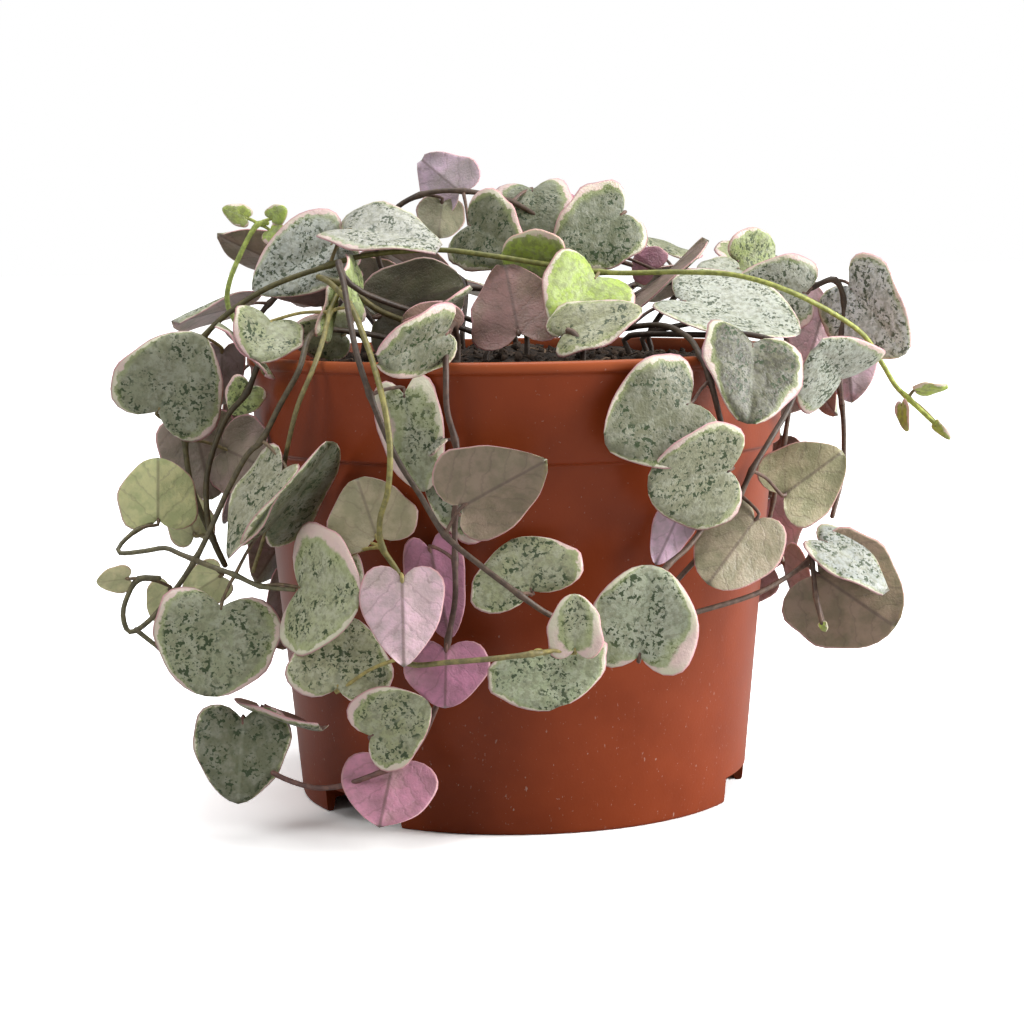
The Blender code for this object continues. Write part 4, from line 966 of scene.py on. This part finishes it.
def vine_pieces(name, plant, looks, templates, finishes, rng):
    """A vine's leaves in one piece, and its stem, shoots and stalks in another."""
    tones = STEM_TONES.get(name, USUAL_TONES)
    coarse = stem_points(plant)
    everywhere = list(coarse[RISEN_POINTS:-1])
    for shoot in plant.shoots:
        everywhere += smooth(shoot, STEM_STEP)[1:-1]
    stalks = [stalk_points(blade, everywhere) for blade in plant.blades]
    knots = [stalk[0] for stalk in stalks]
    path = stem_points(plant, STEM_SPACING, STEM_SUNK)
    parts = [stem_part(path, STEM_RADIUS * STEM_SLIMMING, STEM_TIP_RADIUS * STEM_SLIMMING, tones, knots)]
    for shoot in plant.shoots:
        thick, thin = SHOOT_RADIUS * SHOOT_SLIMMING, PETIOLE_RADIUS * SHOOT_SLIMMING
        parts.append(stem_part(smooth(shoot, STEM_SPACING), thick, thin, tones[1:] + tones[2:], knots))
    for stalk, blade in zip(stalks, plant.blades):
        way = np.array(stalk_way(blade, stalk[0]))
        share = np.linspace(0, 1, len(way))
        radii = PETIOLE_RADIUS * STALK_SLIMMING * (STALK_ENDS - STALK_WAIST * np.sin(share * tau / 2))
        colour = np.array(tones[1]) * STALK_PALER + np.array(STALK_BLUSH)
        parts.append(sweep(way, radii, np.tile(colour, (len(way), 1)), STALK_SIDES))
    slot = "young_stem" if name == "vine_young" else "leaf"
    points, faces, values = gathered(parts)
    stems = piece_from(name + "_stems", points, faces, finishes["stem"], values)
    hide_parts(name)
    blades = [blade_part(blade, letter, templates, rng) for blade, letter in zip(plant.blades, looks)]
    if blades:
        points, faces, values = gathered(blades)
        leaves = piece_from(name + "_leaves", points, faces, finishes["leaf"], values)
        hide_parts(name)


# Pot and soil

def turned_sheet(profile, around_count, lift=None):
    """A closed body turned about Z from a profile in mm that starts and ends on the axis.

    Each profile point but the two ends is carried round a circle of its radius. lift adds to the
    height of every point.
    """
    profile = np.asarray(profile, float)
    turn = np.arange(around_count) * tau / around_count
    rings = profile[1:-1]
    heights = np.broadcast_to(rings[:, None, 1], (len(rings), around_count))
    circles = np.stack([rings[:, None, 0] * np.cos(turn), rings[:, None, 0] * np.sin(turn), heights], axis=-1)
    points = np.vstack([circles.reshape(-1, 3), (0, 0, profile[0, 1]), (0, 0, profile[-1, 1])])
    if lift is not None:
        points[:, 2] += lift(points)
    bottom = len(points) - 2
    last = bottom - around_count
    sides = [(side, (side + 1) % around_count) for side in range(around_count)]
    faces = ring_faces(len(rings), around_count)
    faces += [(bottom, b, a) for a, b in sides]
    faces += [(last + a, last + b, bottom + 1) for a, b in sides]
    return points, faces


def rounded_corners(profile, reach, steps=4):
    """The profile with each inner corner cut to a short curve that starts and ends within reach of it."""
    profile = np.asarray(profile, float)
    kept = [profile[0]]
    for before, corner, after in zip(profile, profile[1:], profile[2:]):
        back = before - corner
        on = after - corner
        start = corner + back * min(MOST_CUT, reach / np.linalg.norm(back))
        end = corner + on * min(MOST_CUT, reach / np.linalg.norm(on))
        for t in np.linspace(0, 1, steps):
            kept.append(start * (1 - t) ** 2 + corner * 2 * t * (1 - t) + end * t ** 2)
    return np.array(kept + [profile[-1]])


def notch_block(angle):
    """The block cut out of the foot at one drainage notch, as an object."""
    low, high = -NOTCH_BELOW, NOTCH_HEIGHT
    inner, outer, half = NOTCH_INNER_RADIUS, NOTCH_OUTER_RADIUS, NOTCH_WIDTH / 2
    corners = np.array([(r, w, z) for r in (inner, outer) for w in (-half, half) for z in (low, high)])
    turned = np.column_stack([corners[:, 0] * cos(angle) - corners[:, 1] * sin(angle),
                              corners[:, 0] * sin(angle) + corners[:, 1] * cos(angle), corners[:, 2]])
    faces = [(0, 1, 3, 2), (4, 6, 7, 5), (0, 4, 5, 1), (2, 3, 7, 6), (0, 2, 6, 4), (1, 5, 7, 3)]
    mesh = bpy.data.meshes.new("notch_block")
    mesh.from_pydata((turned * MILLIMETRE).tolist(), [], facing_out(turned, faces))
    return linked("notch_block", mesh)


def pot_piece(plastic):
    """The moulded pot with its corners rounded and its drainage notches cut through the foot."""
    profile = rounded_corners(pot_profile(), POT_CORNER)
    points, faces = turned_sheet(profile, POT_FACES_ROUND)
    pot = piece_from("pot_shell", points, facing_out(points, faces), plastic)
    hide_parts("pot")
    blocks = [notch_block(radians(angle)) for angle in NOTCH_ANGLES]
    for block in blocks:
        cut = pot.modifiers.new("notch", "BOOLEAN")
        cut.operation = "DIFFERENCE"
        cut.object = block
    graph = bpy.context.evaluated_depsgraph_get()
    mesh = bpy.data.meshes.new_from_object(pot.evaluated_get(graph))
    pot.modifiers.clear()
    pot.data = mesh
    for block in blocks:
        bpy.data.objects.remove(block, do_unlink=True)
    mesh.set_sharp_from_angle(angle=SHARP_ANGLE)


def lumps(x, y, spacing, seed):
    """Smooth random heights from 0 to 1 over the plane: a random grid of this spacing, eased between."""
    table = np.random.default_rng(seed).random((LUMP_CELLS, LUMP_CELLS))
    u = x / spacing + LUMP_START
    v = y / spacing + LUMP_START
    i = np.floor(u).astype(int)
    j = np.floor(v).astype(int)
    fu = (u - i) ** 2 * (3 - 2 * (u - i))
    fv = (v - j) ** 2 * (3 - 2 * (v - j))
    i, j, right, above = (cell % LUMP_CELLS for cell in (i, j, i + 1, j + 1))
    low = table[i, j] * (1 - fu) + table[right, j] * fu
    high = table[i, above] * (1 - fu) + table[right, above] * fu
    return low * (1 - fv) + high * fv


def soil_relief(x, y):
    """How far the peat stands above its smooth dome: lumps of four sizes, each finer and lower."""
    relief = 0.0
    for spacing, height in SOIL_LUMPS:
        relief = relief + (lumps(x, y, spacing, SEED + round(spacing * 10)) - 0.5) * height
    return relief


def soil_piece(peat):
    """The peat: walls down to the floor as in the pot, and a lumpy dome on top."""
    bottom = FLOOR_TOP + CLEARANCE
    heights = (bottom, BAND_BOTTOM - BELOW_BAND, BAND_BOTTOM + ABOVE_BAND)
    walls = [(pot_inner_radius(z) - CLEARANCE, z) for z in heights]
    edge = pot_inner_radius(SOIL_EDGE) - CLEARANCE
    radii = np.linspace(edge, SOIL_MIDDLE, SOIL_RINGS)
    top = [(radius, SOIL_EDGE) for radius in radii]
    profile = [(0, bottom)] + walls + [(edge, SOIL_EDGE - SOIL_SHOULDER)] + top + [(0, SOIL_EDGE)]

    def lift(points):
        x, y, z = points.T
        on_top = z > SOIL_EDGE - SOIL_TOP_DEPTH
        dome = np.array([soil_height(a, b) for a, b in zip(x, y)]) - SOIL_EDGE
        return np.where(on_top, dome + soil_relief(x, y), 0)

    points, faces = turned_sheet(profile, SOIL_FACES_ROUND, lift)
    soil = piece_from("soil_peat", points, facing_out(points, faces), peat)
    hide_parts("soil")


def crumbs_piece(peat, rng):
    """Crumbs of peat strewn over the soil: each an uneven seven-cornered lump, turned at random."""
    reach = np.sqrt(rng.random(CRUMBS)) * CRUMB_REACH
    turn = rng.random(CRUMBS) * tau
    x, y = reach * np.cos(turn), reach * np.sin(turn)
    z = np.array([soil_height(a, b) for a, b in zip(x, y)]) + soil_relief(x, y)
    size = CRUMB_SMALLEST + CRUMB_SPREAD * rng.random(CRUMBS) ** 3
    corners = np.array(CRUMB_CORNERS)
    faces = [(a, (a + 1) % 5, 5) for a in range(5)] + [((a + 1) % 5, a, 6) for a in range(5)]
    uneven = corners[None] * (CRUMB_LEAST + CRUMB_UNEVEN * rng.random((CRUMBS, len(corners), 1)))
    turned = np.linalg.qr(rng.normal(size=(CRUMBS, 3, 3)))[0]
    turned *= np.sign(np.linalg.det(turned))[:, None, None]
    points = np.einsum("nij,nkj->nki", turned, uneven) * size[:, None, None]
    points += np.stack([x, y, z + size * CRUMB_LIFT], axis=1)[:, None]
    shift = np.arange(CRUMBS)[:, None, None] * len(corners)
    every = (np.array(faces)[None] + shift).reshape(-1, 3)
    tone = np.repeat(rng.random(CRUMBS), len(corners))
    piece_from("soil_crumbs", points.reshape(-1, 3), every.tolist(), peat, {"pale": tone})


def fibres_piece(straw, rng):
    """Thin bent fibres that lie on the peat, each swept along a short arc."""
    parts = []
    for _ in range(FIBRES):
        reach, turn, heading = sqrt(rng.random()) * FIBRE_REACH, rng.random() * tau, rng.random() * tau
        length, bend = rng.uniform(*FIBRE_LENGTH), rng.uniform(*FIBRE_BEND)
        run = np.linspace(0, length, FIBRE_POINTS)
        x = reach * cos(turn) + run * np.cos(heading + bend * run)
        y = reach * sin(turn) + run * np.sin(heading + bend * run)
        if np.hypot(x, y).max() >= FIBRE_LIMIT:
            continue
        z = np.array([soil_height(a, b) for a, b in zip(x, y)]) + soil_relief(x, y) + FIBRE_LIFT
        tone = np.tile(np.array(FIBRE_TONE) * rng.uniform(*FIBRE_SHADE), (FIBRE_POINTS, 1))
        radii = np.full(FIBRE_POINTS, rng.uniform(*FIBRE_RADIUS))
        parts.append(sweep(np.column_stack([x, y, z]), radii, tone, FIBRE_SIDES))
    points, faces, values = gathered(parts)
    piece_from("soil_fibres", points, faces, straw, values)


# Finishes

class Field:
    """A node's output. Adding, multiplying and the like wire it into further nodes."""

    def __init__(self, wires, socket):
        self.wires = wires
        self.socket = socket

    def __add__(self, other):
        return self.wires.math("ADD", self, other)

    def __sub__(self, other):
        return self.wires.math("SUBTRACT", self, other)

    def __mul__(self, other):
        return self.wires.math("MULTIPLY", self, other)

    def __truediv__(self, other):
        return self.wires.math("DIVIDE", self, other)


class Wiring:
    """Short words for wiring one material's or group's nodes."""

    def __init__(self, tree):
        self.tree = tree

    def node(self, kind, **settings):
        made = self.tree.nodes.new(kind)
        for key, value in settings.items():
            setattr(made, key, value)
        return made

    def out(self, made, output):
        return Field(self, made.outputs[output])

    def put(self, socket, value):
        if isinstance(value, Field):
            self.tree.links.new(value.socket, socket)
        elif isinstance(value, tuple) and len(value) == 3 and socket.type == "RGBA":
            socket.default_value = (*value, 1.0)
        else:
            socket.default_value = value

    def fill(self, made, values):
        """Puts each value on the node's input of that name or number, and gives the node back."""
        for key, value in values.items():
            self.put(made.inputs[key], value)
        return made

    def math(self, operation, a, b=0.0):
        made = self.node("ShaderNodeMath", operation=operation)
        return self.out(self.fill(made, {0: a, 1: b}), 0)

    def mix(self, factor, a, b, blend="MIX"):
        made = self.node("ShaderNodeMix", data_type="RGBA", blend_type=blend, clamp_factor=True)
        return self.out(self.fill(made, {0: factor, 6: a, 7: b}), 2)

    def between(self, value, low, high):
        """0 at low and 1 at high, eased in between."""
        made = self.node("ShaderNodeMapRange", interpolation_type="SMOOTHSTEP")
        return self.out(self.fill(made, {0: value, 1: low, 2: high}), 0)

    def noise(self, place, scale, detail=3.0, roughness=0.6):
        made = self.node("ShaderNodeTexNoise")
        self.fill(made, {"Vector": place, "Scale": scale, "Detail": detail, "Roughness": roughness})
        return self.out(made, "Fac")

    def place(self, stretch=None):
        spot = self.out(self.node("ShaderNodeTexCoord"), "Object")
        if stretch is None:
            return spot
        return self.out(self.fill(self.node("ShaderNodeMapping"), {"Vector": spot, "Scale": stretch}), 0)

    def value(self, name, colour=False):
        made = self.node("ShaderNodeAttribute", attribute_name=name)
        return self.out(made, "Color" if colour else "Fac")

    def bump(self, height, distance, strength):
        made = self.node("ShaderNodeBump")
        return self.out(self.fill(made, {"Height": height, "Distance": distance, "Strength": strength}), 0)


def finish(name):
    """A new material with its shader, and the words to wire it."""
    made = bpy.data.materials.new(name)
    made.use_nodes = True
    return made, Wiring(made.node_tree), made.node_tree.nodes["Principled BSDF"]


def speckle_group():
    """Clumped flecks: fine noise over a threshold, kept only where broader noise is high too."""
    group = bpy.data.node_groups.new("clumped flecks", "ShaderNodeTree")
    face = group.interface
    face.new_socket(name="Place", in_out="INPUT", socket_type="NodeSocketVector")
    face.new_socket(name="Amount", in_out="INPUT", socket_type="NodeSocketFloat")
    face.new_socket(name="Flecks", in_out="OUTPUT", socket_type="NodeSocketFloat")
    wires = Wiring(group)
    given = wires.node("NodeGroupInput")
    place = wires.out(given, "Place")
    blotches = wires.between(wires.noise(place, 1050, 2.3, 0.58), 0.548, 0.578)
    specks = wires.between(wires.noise(place, 2100, 2.0, 0.55), 0.572, 0.605)
    broad = wires.between(wires.noise(place, 240, 2.0, 0.5), 0.42, 0.54)
    flecks = wires.math("MAXIMUM", blotches, specks * 0.8) * (broad * 0.8 + 0.2)
    wires.fill(wires.node("NodeGroupOutput"), {"Flecks": flecks * wires.out(given, "Amount")})
    return group


def leaf_finish(flecks):
    """The leaf: blotched upper side with a ragged cream and pink margin, and a dusky, veined underside."""
    made, wires, shader = finish("variegated_leaf")
    place = wires.place()
    rim, rib, margin = (wires.value(name) for name in ("rim", "rib", "margin"))
    full_size = wires.math("MINIMUM", margin * 1.5, 1.0)
    broad = wires.noise(place, 330, 3.0, 0.6)
    ragged = wires.noise(place, 560, 3.0, 0.65)
    patches = wires.noise(place, 95, 2.0, 0.5)

    tone = wires.value("tone", colour=True)
    upper = wires.mix(wires.between(broad, 0.42, 0.62), tone, wires.mix(0.28, tone, SILVER))
    dull = wires.between(wires.noise(place, 900, 3.0, 0.6), 0.45, 0.6)
    upper = wires.mix(dull * 0.46, upper, DULL_GREEN)
    group = wires.node("ShaderNodeGroup", node_tree=flecks)
    wires.fill(group, {"Place": place, "Amount": wires.value("mottle")})
    spots = wires.out(group, "Flecks")
    upper = wires.mix(spots * 0.93, upper, FLECK_GREEN)

    wide = wires.math("MAXIMUM", margin * (patches * 3.6 - 0.75), 0.12)
    past = (rim + (ragged - 0.5) * -2.4) / wide
    upper = wires.mix(wires.between(past, 2.4, 1.2) * 0.42, upper, MARGIN_YELLOW)
    blush = wires.mix(wires.between(patches, 0.45, 0.62), MARGIN_CREAM, MARGIN_BLUSH)
    upper = wires.mix(wires.between(past, 1.2, 0.8) * 0.9, upper, blush)

    vein = wires.between(rib, 0.5, 0.08)
    slant = wires.value("along") - rib * SIDE_VEIN_SLANT + broad * SIDE_VEIN_WANDER
    beside = wires.math("ABSOLUTE", wires.math("FRACT", slant / SIDE_VEIN_SPACING) - 0.5)
    branches = wires.between(beside, 0.10, 0.02)
    smoky = wires.mix(wires.between(broad, 0.34, 0.66), SMOKE_DARK, SMOKE_PALE)
    under = wires.mix(1.0, wires.value("under", colour=True), smoky, "MULTIPLY")
    under = wires.mix(wires.between(patches, 0.5, 0.66) * 0.22, under, OLIVE_PATCH)
    under = wires.mix(wires.math("MAXIMUM", vein * 0.6, branches * 0.24) * full_size, under, VEIN_DARK)
    upper = wires.mix(vein * 0.16, upper, VEIN_PALE)

    colour = wires.mix(wires.value("topside"), under, upper)
    colour = wires.mix(wires.between(rim, 0.42, 0.0) * (full_size * 0.78), colour, RIM_PINK)
    height = wires.noise(place, 2300, 2.0, 0.5) * 0.25 + broad - spots * 0.12 - branches * 0.06
    wires.fill(shader, {
        "Base Color": colour, "Roughness": broad * 0.2 + 0.33, "Normal": wires.bump(height, 0.0005, 0.6),
        "Specular IOR Level": 0.40, "Subsurface Weight": 0.12, "Subsurface Radius": SKIN_DEPTH,
        "Subsurface Scale": 1.0})
    return made


def stem_finish():
    """The stem: the tone that it carries from root to tip, streaked and a little rough."""
    made, wires, shader = finish("vine_stem")
    streak = wires.noise(wires.place(), 900, 3.0, 0.6)
    varied = wires.mix(wires.between(streak, 0.35, 0.7), STREAK_DARK, STREAK_PALE)
    colour = wires.mix(1.0, wires.value("tone", colour=True), varied, "MULTIPLY")
    wires.fill(shader, {
        "Base Color": colour, "Roughness": streak * 0.2 + 0.42, "Normal": wires.bump(streak, 0.0002, 0.5)})
    return made


def plastic_finish():
    """The pot's brown plastic: faint clouding, a painted highlight along the rim's outer band, dusty scuffs near
    the foot and fine specks.
    """
    made, wires, shader = finish("pot_plastic_finish")
    place = wires.place()
    cloud = wires.noise(place, 55, 3.0, 0.6)
    height = wires.out(wires.fill(wires.node("ShaderNodeSeparateXYZ"), {0: place}), "Z")
    body = wires.mix(wires.between(cloud, 0.3, 0.7), POT_DARK, POT_LIGHT)
    # Painted highlight: the rim's outer band is mixed halfway to a paler orange, standing for light caught along
    # it.
    lip_highlight = wires.between(height, mm(POT_HEIGHT - LIP_HEIGHT), mm(POT_HEIGHT - LIP_HIGHLIGHT_BELOW_TOP))
    body = wires.mix(lip_highlight * 0.5, body, LIP_HIGHLIGHT)
    low = wires.between(height, mm(SCUFFED_FROM), mm(SCUFFED_TO))
    scuffs = wires.between(wires.noise(wires.place((1.0, 1.0, 0.5)), 1300, 2.0, 0.7), 0.67, 0.75)
    specks = wires.between(wires.noise(place, 1500, 2.0, 0.6), 0.70, 0.76)
    dust = wires.math("MAXIMUM", scuffs * low, specks * 0.55)
    wires.fill(shader, {
        "Base Color": wires.mix(dust * 0.42, body, DUST), "Roughness": cloud * 0.10 + 0.33 + dust * 0.25,
        "Normal": wires.bump(wires.noise(place, 1900, 2.0, 0.5), 0.00004, 0.5), "Specular IOR Level": 0.24})
    return made


def peat_finish(name, crumbs):
    """Peat: near black to dark brown, with bright grains; crumbs also take their own tone."""
    made, wires, shader = finish(name)
    place = wires.place()
    clod = wires.noise(place, 420, 4.0, 0.7)
    colour = wires.mix(wires.between(clod, 0.35, 0.7), PEAT_DARK, PEAT_BROWN)
    if crumbs:
        colour = wires.mix(wires.value("pale") * 0.4, colour, CRUMB_BROWN)
    grains = wires.between(wires.noise(place, 1700, 2.0, 0.5), 0.68, 0.74)
    wires.fill(shader, {
        "Base Color": wires.mix(grains * 0.4, colour, PEAT_GRAIN), "Roughness": 0.95,
        "Normal": wires.bump(clod, 0.0009, 0.9)})
    return made


def straw_finish():
    """Dry fibres in the tone that each one carries."""
    made, wires, shader = finish("peat_fibre")
    rough = wires.noise(wires.place(), 900) + 0.3
    wires.fill(shader, {"Base Color": wires.value("tone", colour=True), "Roughness": rough})
    return made


# Studio

def split_for_camera(tree, usual, seen_as, end):
    """Wires one shader for the camera's own rays and another for all the rest."""
    chosen = tree.nodes.new("ShaderNodeMixShader")
    rays = tree.nodes.new("ShaderNodeLightPath")
    tree.links.new(rays.outputs["Is Camera Ray"], chosen.inputs[0])
    tree.links.new(usual.outputs[0], chosen.inputs[1])
    tree.links.new(seen_as.outputs[0], chosen.inputs[2])
    tree.links.new(chosen.outputs[0], tree.nodes[end].inputs["Surface"])


def floor_piece():
    """A wide pale floor. The camera sees it bright, and it throws less light back on the pot."""
    made = bpy.data.materials.new("pale_floor")
    made.use_nodes = True
    tree = made.node_tree
    tree.nodes.remove(tree.nodes["Principled BSDF"])
    papers = [tree.nodes.new("ShaderNodeBsdfDiffuse") for _ in FLOOR_TONES]
    for paper, tone in zip(papers, FLOOR_TONES):
        paper.inputs["Color"].default_value = (tone, tone, tone, 1.0)
    split_for_camera(tree, *papers, "Material Output")
    mesh = bpy.data.meshes.new("floor")
    half = FLOOR_HALF
    corners = [(-half, -half, 0), (half, -half, 0), (half, half, 0), (-half, half, 0)]
    mesh.from_pydata(corners, [], [(0, 1, 2, 3)])
    mesh.materials.append(made)
    floor = linked("floor", mesh)


def softbox(name, place, size, power):
    """An oblong area light at a place, turned to the plant."""
    light = bpy.data.lights.new(name, "AREA")
    light.shape = "RECTANGLE"
    light.size, light.size_y = size
    light.energy = power
    made = linked(name, light)
    made.location = place
    made.rotation_euler = (Vector(LIGHT_AIM) - Vector(place)).to_track_quat("-Z", "Y").to_euler()


def soft_sun():
    """A wide soft light that shines down from nearly overhead."""
    light = bpy.data.lights.new("overhead", "SUN")
    light.energy = SUN_STRENGTH
    light.angle = SUN_SPREAD
    made = linked("overhead", light)
    made.rotation_euler = Vector(SUN_TOWARD).to_track_quat("-Z", "Y").to_euler()


def studio():
    """A white backdrop, dimmer surroundings, the overhead light and two softboxes."""
    world = bpy.data.worlds.new("studio")
    world.use_nodes = True
    tree = world.node_tree
    lighting = tree.nodes["Background"]
    backdrop = tree.nodes.new("ShaderNodeBackground")
    for background in (lighting, backdrop):
        background.inputs["Color"].default_value = (1.0, 1.0, 1.0, 1.0)
    lighting.inputs["Strength"].default_value = SURROUNDINGS
    split_for_camera(tree, lighting, backdrop, "World Output")
    bpy.context.scene.world = world
    soft_sun()
    for name, place, size, power in SOFTBOXES:
        softbox(name, place, size, power)
    bpy.context.scene.view_settings.view_transform = "Standard"


def camera():
    """The camera stands at EYE and looks along AHEAD, rolled as the picture is."""
    lens = bpy.data.cameras.new("camera")
    lens.sensor_width = SENSOR_WIDTH
    lens.lens = SENSOR_WIDTH * FOCAL_PIXELS / PICTURE_PIXELS
    lens.clip_start = NEAREST_SEEN
    made = linked("camera", lens)
    columns = Matrix((RIGHT, UP, -AHEAD)).transposed()
    made.matrix_world = Matrix.Translation(EYE * MILLIMETRE) @ columns.to_4x4()
    bpy.context.scene.camera = made


def main():
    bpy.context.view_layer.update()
    camera()
    studio()
    floor_piece()
    flecks = speckle_group()
    finishes = {"leaf": leaf_finish(flecks), "stem": stem_finish()}
    peat = peat_finish("peat", False)
    rng = np.random.default_rng(SEED + 1)
    pot_piece(plastic_finish())
    soil_piece(peat)
    crumbs_piece(peat_finish("peat_crumbs", True), rng)
    fibres_piece(straw_finish(), rng)
    templates = [blade_template(half) for half in OUTLINES]
    plants = {name: laid_out(vine) for name, vine in VINES.items()}
    plants.update(grown_plants(plants))
    for name, plant in plants.items():
        looks = LEAF_LOOKS.get(name)
        if looks is None:
            looks = [GROWN_LOOKS[k] for k in rng.integers(0, len(GROWN_LOOKS), GROWN_LOOKS_DRAWN)]
        vine_pieces(name, plant, looks, templates, finishes, rng)


main()
